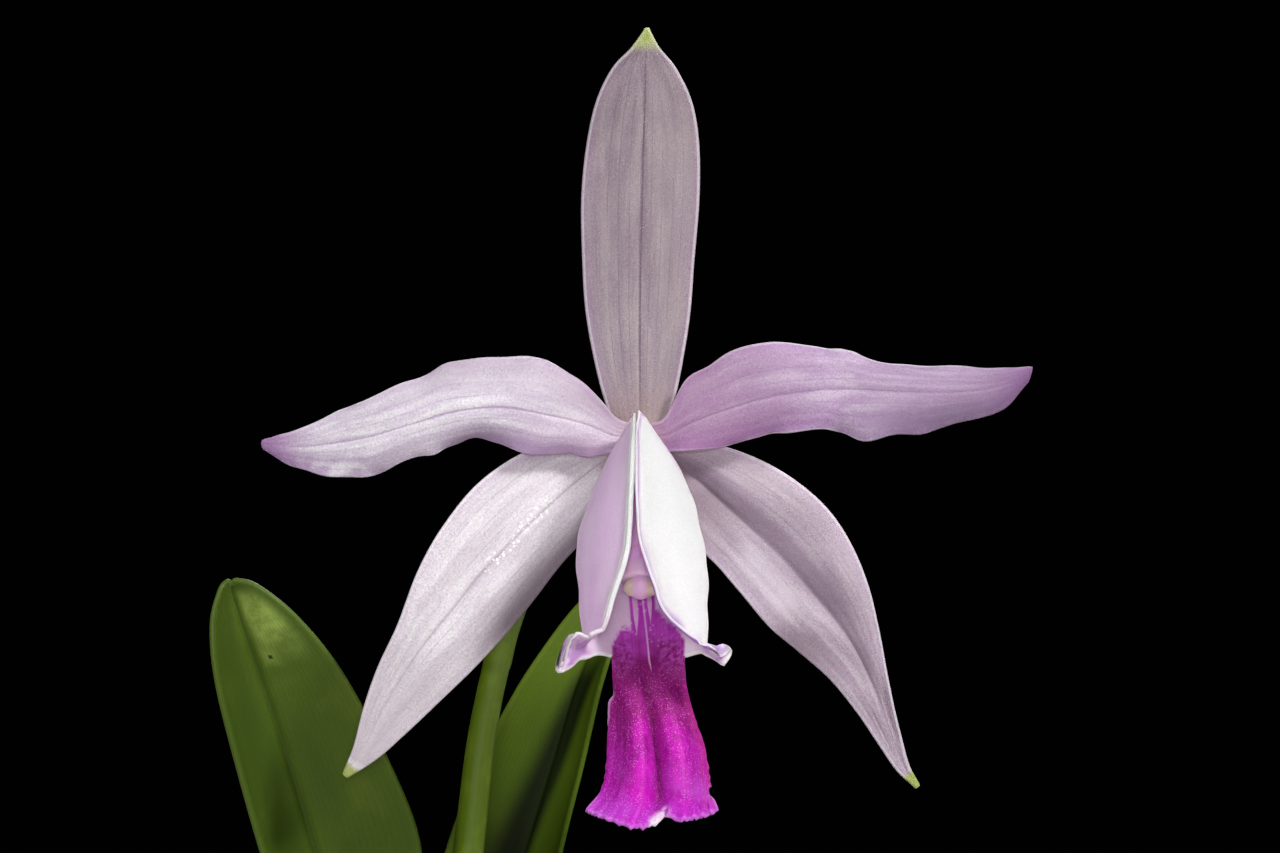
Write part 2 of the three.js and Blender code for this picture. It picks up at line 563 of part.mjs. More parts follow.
const LATERAL_SEPAL_RIGHT = [
  [[0.5, 2.7, -2.6], [1.7, 3.2, -1.8], [2.7, 2.7, -0.9]],
  [[3.8, 1.8, -9], [6.8, 2.7, -5.9], [8.2, 2, -1.5]],
  [[7.2, 0.7, -15.4], [11.6, 1.7, -10.2], [14.4, 1, -3.1]],
  [[11.4, -0.2, -19.6], [16.3, 0.7, -14.3], [20.8, 0.2, -6.2]],
  [[14.4, -0.4, -23.2], [21, 0.2, -18.8], [26.2, -0.3, -10.6]],
  [[18.2, 0, -27.8], [25.2, 0.2, -23.8], [29.8, -0.4, -15.8]],
  [[22.4, 0.6, -31.5], [28.8, 0.4, -28.2], [32.4, 0, -22]],
  [[27, 1.4, -35.6], [31.6, 1.2, -32.8], [34.1, 0.8, -28.8]],
  [[30.8, 2.4, -40.4], [34, 2.2, -38], [35.4, 1.9, -36]],
  [[34.2, 3.5, -45.4], [36.1, 3.4, -43.8], [36.8, 3.1, -42.6]],
  [[36.8, 4.5, -49], [37.8, 4.6, -48.3], [38.3, 4.3, -47.6]],
  [[39.6, 5.4, -51.5], [39.9, 5.4, -51.3], [40.3, 5.4, -51]],
];
const PETAL_LEFT = [
  [[-3.1, -0.4, 1.5], [-3.5, 0, -0.9], [-3.3, -0.4, -3.1]],
  [[-6.9, -1.2, 5.6], [-8, -1.4, 0.9], [-8.2, -0.8, -3.8]],
  [[-11.6, -2.6, 9.1], [-13.4, -3.2, 2.2], [-14, -1.6, -3.3]],
  [[-18.6, -3.6, 10.5], [-19.6, -4.8, 3.2], [-20.2, -2.2, -1.2]],
  [[-25.6, -4.2, 10.1], [-26, -5.8, 2.6], [-25.4, -2.2, -1.4]],
  [[-31.6, -4.2, 7.7], [-32, -5.8, 0.9], [-30.3, -3, -3.4]],
  [[-38.6, -3.6, 4.3], [-38, -4.8, -0.9], [-36, -3.4, -6.2]],
  [[-44.6, -2.2, 1.9], [-44.2, -2.9, -2], [-43, -2.2, -6.6]],
  [[-49.8, -0.4, -0.4], [-49.5, -0.8, -2.4], [-49, -0.4, -5.5]],
  [[-53.7, 1.4, -1.4], [-54, 1.4, -2], [-53.6, 1.4, -2.8]],
];
const PETAL_RIGHT = [
  [[3.3, -0.4, -3], [3.5, 0, -0.8], [3.3, -0.4, 1.6]],
  [[8.6, -1, -2.7], [7.6, -1.5, 1.2], [6.6, -1.2, 6.6]],
  [[13.8, -2, -1.8], [12.9, -3.2, 3.2], [11.2, -2.6, 10.4]],
  [[19.4, -2.8, -0.4], [18.9, -4.8, 4.9], [18, -3.9, 12.2]],
  [[25.2, -4.1, 0.1], [25.2, -5.6, 5.7], [24.4, -4.3, 12.1]],
  [[31.2, -4.3, -1.5], [31.2, -5.4, 5.7], [30.8, -4.1, 10.8]],
  [[37.4, -3.5, -0.5], [38, -4.6, 5.4], [37.8, -3.5, 9.3]],
  [[44.2, -2.1, 0.4], [45, -3.2, 5.4], [44.8, -2.3, 9]],
  [[50.4, -0.4, 2.7], [51, -1.2, 6.2], [51, -0.7, 8.7]],
  [[55.3, 1.1, 6.8], [55.8, 1.1, 8.2], [56, 1.1, 9]],
];

const SEPAL_THICK = [0.75, 1.15];
const PETAL_THICK = [0.7, 1.1];
const LEFT_RUFFLE = { height: 0.7, waves: 4, phase: 0.4, shift: 2.1 };
const RIGHT_RUFFLE = { height: 0.8, waves: 3.5, phase: 2, shift: 2.1 };
function flowerPart(rows, thick, ruffle) {
  const placed = rows.map((row) => row.map(inFlower));
  return cut(blade({ rows: placed, thick, ruffle, steps: 17, across: 8 }), stalkCutter);
}
add("dorsal_sepal", flowerPart(DORSAL_SEPAL, SEPAL_THICK), "sepal");
add("lateral_sepal_left", flowerPart(LATERAL_SEPAL_LEFT, SEPAL_THICK), "sepal");
add("lateral_sepal_right", flowerPart(LATERAL_SEPAL_RIGHT, SEPAL_THICK), "sepal");
add("petal_left", flowerPart(PETAL_LEFT, PETAL_THICK, LEFT_RUFFLE), "petal");
add("petal_right", flowerPart(PETAL_RIGHT, PETAL_THICK, RIGHT_RUFFLE), "petal");

// Lip

// The side lobes roll round the column into a tube whose margins meet in front of it and open at its mouth.
// Below the mouth the middle lobe hangs like an apron with its sides folded back and its edge ruffled.
const TUBE = { from: [-0.2, -2.4, 0.2], to: [0.2, -20, -29.5], end: { left: 1.08, right: 1.05 } };
const TUBE_FORWARD = new Vector3(0, -0.823, 0.568);

// Half widths of the tube from its foot to its mouth, and its depth before and behind its axis.
const tubeWidth = {
  left: valueThrough([2.4, 4.9, 6.3, 7.7, 8.5, 8.5, 8.1, 7.6]),
  right: valueThrough([1.8, 4.4, 6.4, 7.9, 8.8, 9.1, 9.2, 9.0]),
};
const tubeFront = valueThrough([3.6, 6.4, 8.0, 8.4, 8.0, 7.4]);
const tubeBack = valueThrough([2.8, 4.2, 5.8, 6.4, 6.3, 6.0]);

// How far round from the keel each margin lies, from the foot of the tube to the corner of its mouth.
const margin = {
  left: valueThrough([0.955, 0.96, 0.96, 0.96, 0.96, 0.96, 0.96, 0.95, 0.92, 0.862, 0.775, 0.62]),
  right: valueThrough([1, 1.006, 1.006, 1.006, 1.006, 1.004, 1, 0.994, 0.978, 0.95, 0.888, 0.66]),
};
const ISTHMUS = { angle: 0.62, s: 0.965 };

// The two sides of the lip, and the angle from the keel to the margin of a side lobe.
const sideName = (side) => (side < 0 ? "left" : "right");
const edgeAngle = (s, side) => Math.PI * margin[sideName(side)](s / TUBE.end[sideName(side)]);

function tubePoint(s, angle, side) {
  const depth = -Math.cos(angle) * (angle > Math.PI / 2 ? tubeFront(s) : tubeBack(s));
  return vec(TUBE.from).lerp(vec(TUBE.to), s)
    .addScaledVector(TUBE_FORWARD, depth)
    .add(new Vector3(side * tubeWidth[sideName(side)](s) * Math.sin(angle), 0, 0));
}

// The front corner of each side lobe turns out into a small curled ear with a crimped edge.
const EAR = { left: [-4.7, -1.7, -0.5], right: [3.8, -1.5, -0.8], start: 0.985, crimp: 0.5, crimps: 9 };
function lobePoint(s, share, side) {
  const point = tubePoint(s, share * edgeAngle(s, side), side);
  const ear = smooth(EAR.start, TUBE.end[sideName(side)], s) * smooth(0.45, 1, share);
  const [x, y, z] = EAR[sideName(side)];
  const crimp = EAR.crimp * ear * Math.sin(EAR.crimps * share * share + 1);
  return point.add(new Vector3(x * ear, y * Math.sin(2.4 * ear), z * Math.sin(Math.PI * ear) + crimp));
}

// Middle line of the middle lobe, its half width, how far its sides fold back, and the depth of its groove.
const APRON = through([
  [0.8, -14.6, -32.2], [1.3, -17.2, -36], [1.8, -19.6, -40.6],
  [2.3, -21.6, -45.2], [2.4, -23.4, -49.8], [1.9, -26, -53.4],
]);
const apronWidth = valueThrough([4.9, 4.8, 5.5, 6.5, 7.3, 8.9]);
const apronFold = valueThrough([-1, 2, 4, 4.6, 4, 2.4]);
const apronGroove = valueThrough([0, 0.5, 1, 1.3, 1.3, 1.1]);
const APRON_SHAPE = { turn: 1.25, ruffle: 0.9, waves: 3.2, groove: 5 };

function apronPoint(t, v) {
  const turned = APRON_SHAPE.turn * v;
  const ruffle = APRON_SHAPE.ruffle * t ** 3 * Math.sin(2 * Math.PI * APRON_SHAPE.waves * v + 0.6);
  const fold = apronFold(t) * (1 - Math.cos(turned)) / (1 - Math.cos(APRON_SHAPE.turn));
  const groove = apronGroove(t) * Math.exp(-((v * APRON_SHAPE.groove) ** 2));
  const tongue = t ** 2 * (0.3 - 1.1 * Math.exp(-(((v + 0.27) * 3.2) ** 2))) + 1.2 * t * v * v;
  const across = (apronWidth(t) * Math.sin(turned)) / Math.sin(APRON_SHAPE.turn);
  return APRON.getPoint(clamp01(t)).add(new Vector3(across, fold + groove - ruffle, tongue));
}

const LIP = {
  tubeRows: [0, 0.13, 0.26, 0.38, 0.49, 0.59, 0.68, 0.76, 0.83, 0.89, 0.93, 0.965, 1],
  apronRows: 11, lobeColumns: 8, apronColumns: 5, thick: 0.7,
};

// Columns run from the left margin over the keel to the right margin. The middle ones go on into the apron.
function lipSheet() {
  const half = LIP.lobeColumns + LIP.apronColumns;
  const columns = 2 * half;
  const tubeRows = LIP.tubeRows.length - 1;
  const rows = tubeRows + LIP.apronRows;
  const points = [];
  for (let i = 0; i <= rows; i++)
    for (let j = 0; j <= columns; j++) {
      const side = j < half ? -1 : 1;
      const k = Math.abs(j - half);
      const inner = Math.min(1, k / LIP.apronColumns);
      const lobe = Math.max(0, k - LIP.apronColumns) / LIP.lobeColumns;
      const end = lerp(ISTHMUS.s, TUBE.end[sideName(side)], smooth(0.05, 0.75, lobe));
      const s = LIP.tubeRows[Math.min(i, tubeRows)] * end;
      let point = lobePoint(s, lerp((inner * ISTHMUS.angle) / edgeAngle(s, side), 1, lobe), side);
      if (i > tubeRows) {
        const t = (i - tubeRows) / LIP.apronRows;
        const root = tubePoint(ISTHMUS.s + 0.35 * t, inner * ISTHMUS.angle, side);
        point = root.lerp(apronPoint(t, side * inner), smooth(0, 0.4, t));
      }
      points.push(point);
    }
  const keep = (i, j) => i < tubeRows || Math.abs(j + 0.5 - half) < LIP.apronColumns;
  return { points, faces: gridFaces(rows, columns, keep) };
}

// Column, with the anther cap at its end

const columnRadius = valueThrough([1.1, 1.5, 1.8, 2.1, 2.3, 2.3]);
const COLUMN_PATH = [
  [-0.2, -0.4, -0.4], [-0.2, -4.6, -4.4], [-0.2, -8.6, -10.8], [-0.1, -11.8, -16.4], [0, -14.2, -20.8],
].map(inFlower);
const column = (grow = 0) => loft({
  path: COLUMN_PATH, radiusAt: (u) => columnRadius(u) * (u > 0.99 ? 0.8 : 1),
  sides: 10, places: [0, 0.2, 0.4, 0.6, 0.8, 0.95, 1], widen: 1.12, grow,
});
add("column", cut(column(), stalkCutter), "column");

const ANTHER = { size: [2, 1.5, 1.3], tilt: -0.9, place: [0, -15.3, -21.9] };
function antherCap() {
  const dome = new THREE.SphereGeometry(1, 10, 7).scale(...ANTHER.size).rotateX(ANTHER.tilt);
  return dome.translate(...inFlower(ANTHER.place));
}
add("anther_cap", cut(antherCap(), column(GAP)), "anther");

function lip() {
  const { points, faces } = lipSheet();
  const used = [...new Set(faces.flat())];
  const order = new Map(used.map((k, n) => [k, n]));
  const places = used.map((k) => vec(inFlower(points[k].toArray())));
  return thicken(places, faces.map((face) => face.map((k) => order.get(k))), () => LIP.thick);
}
add("lip", cut(lip(), stalkCutter, column(GAP)), "lip");

export default group;
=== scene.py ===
# The looks of a potted orchid, Cattleya intermedia, with one open flower.
# Shapes are worked out in millimetres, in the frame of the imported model, and stored in metres.
import math
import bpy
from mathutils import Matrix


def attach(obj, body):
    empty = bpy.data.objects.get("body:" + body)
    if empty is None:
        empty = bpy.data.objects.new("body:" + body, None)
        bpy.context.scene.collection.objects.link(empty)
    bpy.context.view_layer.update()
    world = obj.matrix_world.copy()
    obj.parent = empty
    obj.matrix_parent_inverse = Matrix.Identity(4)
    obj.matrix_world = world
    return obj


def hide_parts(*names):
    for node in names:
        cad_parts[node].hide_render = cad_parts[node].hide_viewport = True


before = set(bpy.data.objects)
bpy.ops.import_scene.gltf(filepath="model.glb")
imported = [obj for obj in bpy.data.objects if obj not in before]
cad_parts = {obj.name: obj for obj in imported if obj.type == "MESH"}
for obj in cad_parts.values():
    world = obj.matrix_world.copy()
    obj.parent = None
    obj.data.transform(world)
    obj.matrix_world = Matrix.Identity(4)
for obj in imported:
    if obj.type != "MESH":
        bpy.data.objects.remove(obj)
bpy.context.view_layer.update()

from types import SimpleNamespace as Sizes

import bmesh
import bpy
import numpy as np
from mathutils import Vector
from mathutils.kdtree import KDTree

MM = 0.001
TURN = 2 * math.pi

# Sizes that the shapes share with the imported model

POT = Sizes(
    height=108, top_radius=61, foot_radius=44, wall=5, floor=7, rim_height=19, rim_step=3.2,
    foot_bevel=1.5, drain_radius=5, drain_ring=25, drains=4, sides=144,
)
BARK = Sizes(
    top=94.5, clear=0.65, sides=96, rings=[9, 22, 34, 45], spacing=17.2, stagger=0.6,
    outward=[-1.5, 1.5], above=[-1.2, 1.6], chip=[19, 12.5, 8.5], sizes=[0.75, 1.15],
    corners=[0.7, 1.1], slant=0.5, seed=11, cuts=6,
)
SMALL_CHIPS = Sizes(
    count=190, reach=51, chip=[9, 6, 4], sizes=[0.5, 1.15], above=[0.5, 4.4], slant=0.8, cuts=4,
)
CORK = Sizes(layers=[2.2, 3.4], layer_depth=0.035, waves=1.6, wave_depth=0.022)
RHIZOME = Sizes(radius=4.4, z=96.5, before=[7, 4, -2], after=[-5, -3, 1])
FEET = [[34, 22], [22, 16], [10, 8], [-2, 0], [-14, -6], [-25, -13]]
FLOWER = np.array([12, -28, 400])
BULB_TOP = [-35, 30, -111.5]

# Pseudobulbs, oldest first: top, thickest radius, and for each leaf its direction, lean from upright,
# bend along its length, length and width.
BULBS = [
    ([52, 34, 184], 6.2, [[-25, 38, 34, 74, 25], [72, 34, 30, 68, 24]]),
    ([30, 34, 205], 6.6, [[112, 44, 30, 82, 27], [-48, 30, 28, 72, 25]]),
    ([17, 6, 222], 7, [[97, 36, 30, 78, 27], [-84, 40, 30, 84, 28]]),
    ([-9, 15, 240], 7.3, [[142, 34, 32, 82, 28], [-48, 36, 34, 80, 28]]),
    ((FLOWER + BULB_TOP).tolist(), 7.6, []),
]
BULB = Sizes(foot=4.4, waist=4, top=4.6, joints=5, dip=0.06, sheath=0.55, bow=2.5, rounded=0.015)
SHOOT = Sizes(height=34, radius=4.2, sheaths=3, lean=3)
LEAF_WIDTHS = [0.22, 0.34, 0.66, 0.9, 1, 0.98, 0.84, 0.5, 0.1]
LEAF = Sizes(thick=[0.8, 2.2], fold_base=62, fold_tip=12, offset=2.6)


# Numbers and curves

def lerp(a, b, t):
    return a + (b - a) * t


def smooth(a, b, t):
    x = np.clip((t - a) / (b - a), 0, 1)
    return x * x * (3 - 2 * x)


def peak(x, width):
    return np.exp(-((x / width) ** 2))


def unit(vectors):
    return vectors / np.maximum(np.linalg.norm(vectors, axis=-1, keepdims=True), 1e-12)


def spline(points):
    """A smooth curve through points, as a function of t from 0 to 1."""
    knots = np.asarray(points, float)
    knots = np.vstack([2 * knots[0] - knots[1], knots, 2 * knots[-1] - knots[-2]])
    last = len(points) - 1

    def at(t):
        t = np.clip(np.asarray(t, float), 0, 1) * last
        i = np.minimum(t.astype(int), last - 1)
        w = (t - i)[..., None]
        a, b, c, d = (knots[i + k] for k in range(4))
        start, end = (c - a) / 2, (d - b) / 2
        return b + start * w + (3 * (c - b) - 2 * start - end) * w**2 + (2 * (b - c) + start + end) * w**3

    return at


def values(numbers):
    """A smooth value through numbers, as a function of t from 0 to 1."""
    curve = spline([[n] for n in numbers])
    return lambda t: curve(t)[..., 0]


def in_flower(points):
    return np.asarray(points, float) + FLOWER


def around(r, angle, z):
    """A point at a radius, angle and height."""
    return [r * math.cos(angle), r * math.sin(angle), z]


# Meshes

def normals_of(points, quads):
    a, b, c, d = (points[quads[:, k]] for k in range(4))
    face = np.cross(c - a, d - b)
    total = np.zeros_like(points)
    for k in range(4):
        np.add.at(total, quads[:, k], face)
    return unit(total)


def grid(rows, columns, keep=None):
    i, j = np.meshgrid(np.arange(rows), np.arange(columns), indexing="ij")
    a = i * (columns + 1) + j
    quads = np.stack([a, a + columns + 1, a + columns + 2, a + 1], -1).reshape(-1, 4)
    return quads if keep is None else quads[keep(i, j).ravel()]


def shape_of(points, faces, place, edge=None):
    edge = np.zeros(len(points)) if edge is None else edge
    return dict(points=points, faces=faces, place=place, edge=edge)


def thicken(points, quads, front, back, place):
    """A closed solid that reaches front and back from a sheet at each point, with a rounded rim."""
    used, quads = np.unique(quads, return_inverse=True)
    quads = quads.reshape(-1, 4)
    points, front, back, place = points[used], front[used], back[used], place[used]
    normal = normals_of(points, quads)
    count = len(points)
    start, end = quads.ravel(), np.roll(quads, -1, axis=1).ravel()
    border = ~np.isin(start * count + end, end * count + start)
    start, end = start[border], end[border]
    outward = np.zeros_like(points)
    across = unit(np.cross(points[end] - points[start], normal[start]))
    np.add.at(outward, start, across)
    np.add.at(outward, end, across)
    rim = np.unique(start)
    out = unit(outward[rim] - normal[rim] * (outward[rim] * normal[rim]).sum(1)[:, None])
    half, middle = (front + back)[rim] / 2, (front - back)[rim] / 2
    loops, places = [], []
    for angle in (math.pi / 4, 0, -math.pi / 4):
        away = normal[rim] * (middle + half * math.sin(angle))[:, None]
        loops.append(points[rim] + away + out * (half * math.cos(angle))[:, None])
        places.append(np.column_stack([place[rim], np.full(len(rim), math.sin(angle))]))
    at = np.zeros(count, int)
    at[rim] = np.arange(len(rim))
    ring = [np.arange(count)] + [2 * count + k * len(rim) + at for k in range(3)] + [np.arange(count) + count]
    faces = [quads, quads[:, ::-1] + count]
    for one, two in zip(ring, ring[1:]):
        faces.append(np.stack([one[end], one[start], two[start], two[end]], -1))
    tree = KDTree(len(rim))
    for k, point in enumerate(points[rim]):
        tree.insert(point, k)
    tree.balance()
    edge = np.array([tree.find(point)[2] for point in points])
    side = np.ones((count, 1))
    return shape_of(
        np.vstack([points + normal * front[:, None], points - normal * back[:, None], *loops]),
        [np.vstack(faces)],
        np.vstack([np.hstack([place, side]), np.hstack([place, -side]), *places]),
        np.concatenate([edge, edge, np.zeros(3 * len(rim))]),
    )


def frames(path, u, turn=0):
    """Middle, first and second direction of the rings round a curve."""
    curve = spline(path)
    step = 1e-4
    tangent = unit(curve(np.minimum(u + step, 1)) - curve(np.maximum(u - step, 0)))
    reference = np.array([math.cos(turn), math.sin(turn), 0])
    normal = unit(reference - tangent * (tangent @ reference)[..., None])
    return curve(u), normal, np.cross(tangent, normal)


def ring_faces(rings, sides, inward=False):
    """Faces of rings of points one after another, capped at each end to one of the two points that follow."""
    k, j = np.meshgrid(np.arange(rings - 1), np.arange(sides), indexing="ij")
    a, b = k * sides + j, k * sides + (j + 1) % sides
    quads = np.stack([a, b, b + sides, a + sides], -1).reshape(-1, 4)
    j, first, last = np.arange(sides), rings * sides, (rings - 1) * sides
    caps = np.vstack([
        np.column_stack([np.full(sides, first), (j + 1) % sides, j]),
        np.column_stack([np.full(sides, first + 1), last + j, last + (j + 1) % sides]),
    ])
    return [np.roll(faces[:, ::-1], 1, axis=1) if inward else faces for faces in (quads, caps)]


def loft(path, radius, sides, places, widen=1, turn=0):
    """A closed solid of rings round a curve. The radius depends on u along it and on the angle round it."""
    u = np.asarray(places, float)
    across, along = np.meshgrid(np.arange(sides) * TURN / sides, u)
    r = radius(along, across)
    middle, normal, side = (x[:, None] for x in frames(path, u, turn))
    wide, deep = (r * widen * np.cos(across))[..., None], (r * np.sin(across))[..., None]
    points = middle + normal * wide + side * deep
    place = np.stack([along, across / TURN, np.ones_like(along)], -1).reshape(-1, 3)
    return shape_of(
        np.vstack([points.reshape(-1, 3), spline(path)([0, 1])]), ring_faces(len(u), sides),
        np.vstack([place, [[0, 0, 1], [1, 0, 1]]]),
    )


def lathe(profile, sides):
    """A closed solid turned round the pot's axis. The profile starts and ends on the axis."""
    profile = np.asarray(profile, float)
    angle = np.arange(sides) * TURN / sides
    r, z = profile[1:-1, :1], profile[1:-1, 1:]
    rings = np.stack([r * np.cos(angle), r * np.sin(angle), z + 0 * angle], -1).reshape(-1, 3)
    points = np.vstack([rings, [[0, 0, profile[0, 1]], [0, 0, profile[-1, 1]]]])
    return shape_of(points, ring_faces(len(r), sides), np.zeros_like(points))


def joined(shapes):
    """Several shapes as one."""
    faces, count = [], 0
    for shape in shapes:
        faces += [f + count for f in shape["faces"]]
        count += len(shape["points"])
    return shape_of(
        np.vstack([s["points"] for s in shapes]), faces,
        np.vstack([s["place"] for s in shapes]), np.concatenate([s["edge"] for s in shapes]),
    )


def linked(name, data):
    """A new object of some data, in the scene."""
    made = bpy.data.objects.new(name, data)
    bpy.context.scene.collection.objects.link(made)
    return made


def piece(name, shape, material, replaces=()):
    """A Blender object of a shape, which rides on the root body."""
    mesh = bpy.data.meshes.new(name)
    faces = [face for faces in shape["faces"] for face in faces.tolist()]
    mesh.from_pydata((shape["points"] * MM).tolist(), [], faces)
    mesh.shade_smooth()
    mesh.attributes.new("place", "FLOAT_VECTOR", "POINT").data.foreach_set("vector", shape["place"].ravel())
    mesh.attributes.new("edge", "FLOAT", "POINT").data.foreach_set("value", shape["edge"])
    mesh.materials.append(material)
    made = linked(name, mesh)
    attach(made, "root")
    if replaces:
        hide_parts(*replaces)
    return made


# Materials

def colour(tone):
    """A screen tone from 0 to 255 as light. A socket stays what it is."""
    if isinstance(tone, bpy.types.NodeSocket):
        return tone
    parts = [c / 255 for c in tone]
    return (*[c / 12.92 if c <= 0.04045 else ((c + 0.055) / 1.055) ** 2.4 for c in parts], 1)


def plug(tree, socket, value):
    if isinstance(value, Wire):
        value = value.socket
    if isinstance(value, bpy.types.NodeSocket):
        tree.links.new(value, socket)
    elif value is not None:
        socket.default_value = value


def node(tree, kind, inputs=(), **settings):
    """A new node with its settings, and a value or a wire on each of some inputs."""
    made = tree.nodes.new("ShaderNode" + kind)
    for key, value in settings.items():
        setattr(made, key, value)
    for key, value in dict(inputs).items():
        plug(tree, made.inputs[key], value)
    return made


class Wire:
    """A number that runs between nodes, so that a pattern can be written as a formula."""

    def __init__(self, tree, socket):
        self.tree, self.socket = tree, socket

    def math(self, operation, *others):
        made = node(self.tree, "Math", enumerate((self, *others)), operation=operation)
        return Wire(self.tree, made.outputs[0])

    def __add__(self, other):
        return self.math("ADD", other)

    __radd__ = __add__

    def __mul__(self, other):
        return self.math("MULTIPLY", other)

    __rmul__ = __mul__

    def __sub__(self, other):
        return self.math("SUBTRACT", other)

    def __rsub__(self, other):
        return self * -1 + other

    def __abs__(self):
        return self.math("ABSOLUTE")

    def __pow__(self, power):
        return self.math("POWER", power)

    def over(self, limit):
        """How far it lies above a limit."""
        return (self - limit).math("MAXIMUM", 0)

    def smooth(self, a, b, *back):
        """0 at a and 1 at b, with a smooth change between. Two more numbers lead back from 1 to 0."""
        if back:
            return self.smooth(a, b) * self.smooth(*back[::-1])
        if a > b:
            return 1 - self.smooth(b, a)
        inputs = {"Value": self, "From Min": a, "From Max": b}
        made = node(self.tree, "MapRange", inputs, interpolation_type="SMOOTHSTEP")
        return Wire(self.tree, made.outputs[0])

    def lines(self, count, sharpness):
        """Thin lines where self times count is whole."""
        return ((self * (TURN * count)).math("COSINE") * 0.5 + 0.5) ** sharpness


class Finish:
    """A material under work: its shader, the places that its patterns read, and what is added to it."""

    def __init__(self, name, ground, roughness, **settings):
        self.material = bpy.data.materials.new(name)
        self.material.use_nodes = True
        self.tree = self.material.node_tree
        self.shader = self.tree.nodes["Principled BSDF"]
        self.colour = ground
        self.set("Roughness", roughness)
        for key, value in settings.items():
            self.set(key.replace("_", " "), value)
        self.along, self.across, self.side = self.parts(self.attribute("place").outputs["Vector"])
        self.edge = Wire(self.tree, self.attribute("edge").outputs["Fac"])
        self.where = node(self.tree, "TexCoord").outputs["Object"]

    @property
    def off(self):
        """How far a place lies off the midrib, to either side."""
        return abs(self.across)

    def attribute(self, name):
        return node(self.tree, "Attribute", attribute_name=name)

    def parts(self, vector):
        split = node(self.tree, "SeparateXYZ", {0: vector})
        return [Wire(self.tree, socket) for socket in split.outputs]

    def set(self, name, value):
        plug(self.tree, self.shader.inputs[name], value)

    def vector(self, x, y, z=0):
        return node(self.tree, "CombineXYZ", enumerate((x, y, z))).outputs[0]

    def noise(self, scale, detail=2, roughness=0.5, vector=None):
        inputs = {"Vector": vector or self.where, "Scale": scale, "Detail": detail, "Roughness": roughness}
        return Wire(self.tree, node(self.tree, "TexNoise", inputs).outputs[0])

    def cells(self, scale):
        """Distance to the middle of the nearest of many small cells."""
        made = node(self.tree, "TexVoronoi", {"Vector": self.where, "Scale": scale})
        return Wire(self.tree, made.outputs[0])

    def streaks(self, along, across, detail=2, roughness=0.5, start=0):
        """Noise drawn out to a number of clouds along and across the piece."""
        where = self.vector(self.along * along + start, self.across * across)
        return self.noise(1, detail, roughness, where)

    def mix(self, factor, a, b, kind="MIX"):
        inputs = {0: factor, 6: colour(a), 7: colour(b)}
        return node(self.tree, "Mix", inputs, data_type="RGBA", blend_type=kind).outputs[2]

    def paint(self, tone, factor=1, **bands):
        """Lays a tone where a factor is 1, within bands of along, across, off, side or edge."""
        for name, band in bands.items():
            factor = getattr(self, name).smooth(*band) * factor
        self.colour = self.mix(factor, self.colour, tone)

    def shade(self, factor):
        """Multiplies the finish's colour by a grey factor."""
        self.colour = self.mix(1, self.colour, self.vector(factor, factor, factor), "MULTIPLY")

    def bump(self, height, distance, strength):
        """Relief of a height from 0 to 1 times a distance in millimetres."""
        inputs = {"Height": height, "Distance": distance * MM, "Strength": strength}
        made = node(self.tree, "Bump", inputs)
        if self.shader.inputs["Normal"].is_linked:
            plug(self.tree, made.inputs["Normal"], self.shader.inputs["Normal"].links[0].from_socket)
        self.set("Normal", made.outputs[0])

    def grain(self, contrast, relief, strength, *noise):
        """Fine noise that shades the colour by a contrast and stands up as relief."""
        grain = self.noise(*noise)
        self.shade(grain * contrast + (1 - contrast / 2))
        self.bump(grain, relief, strength)

    def done(self):
        self.set("Base Color", self.colour)
        return self.material


# Tones of sepals and petals: ground, streaks, edge, veins, tip and base.
# The dorsal sepal, the right lateral sepal and the right petal have darker grounds partly as painted shade,
# for blades that face away from the key light.
FLOWER_TONES = {
    "dorsal_sepal_skin": [
        (141, 125, 135), (160, 148, 150), (136, 104, 138), (100, 80, 96), (186, 198, 120), (146, 120, 118),
    ],
    "lateral_sepal_skin_left": [
        (216, 209, 216), (228, 224, 226), (196, 176, 198), (150, 130, 146), (158, 174, 74), (176, 150, 160),
    ],
    "lateral_sepal_skin_right": [
        (168, 150, 165), (190, 178, 187), (196, 176, 198), (126, 104, 124), (158, 174, 74), (176, 150, 160),
    ],
    "petal_skin_left": [
        (208, 199, 211), (230, 227, 230), (172, 142, 184), (158, 126, 166), (150, 98, 160), (190, 160, 170),
    ],
    "petal_skin_right": [
        (182, 156, 186), (202, 187, 204), (172, 142, 184), (138, 106, 146), (150, 98, 160), (190, 160, 170),
    ],
}


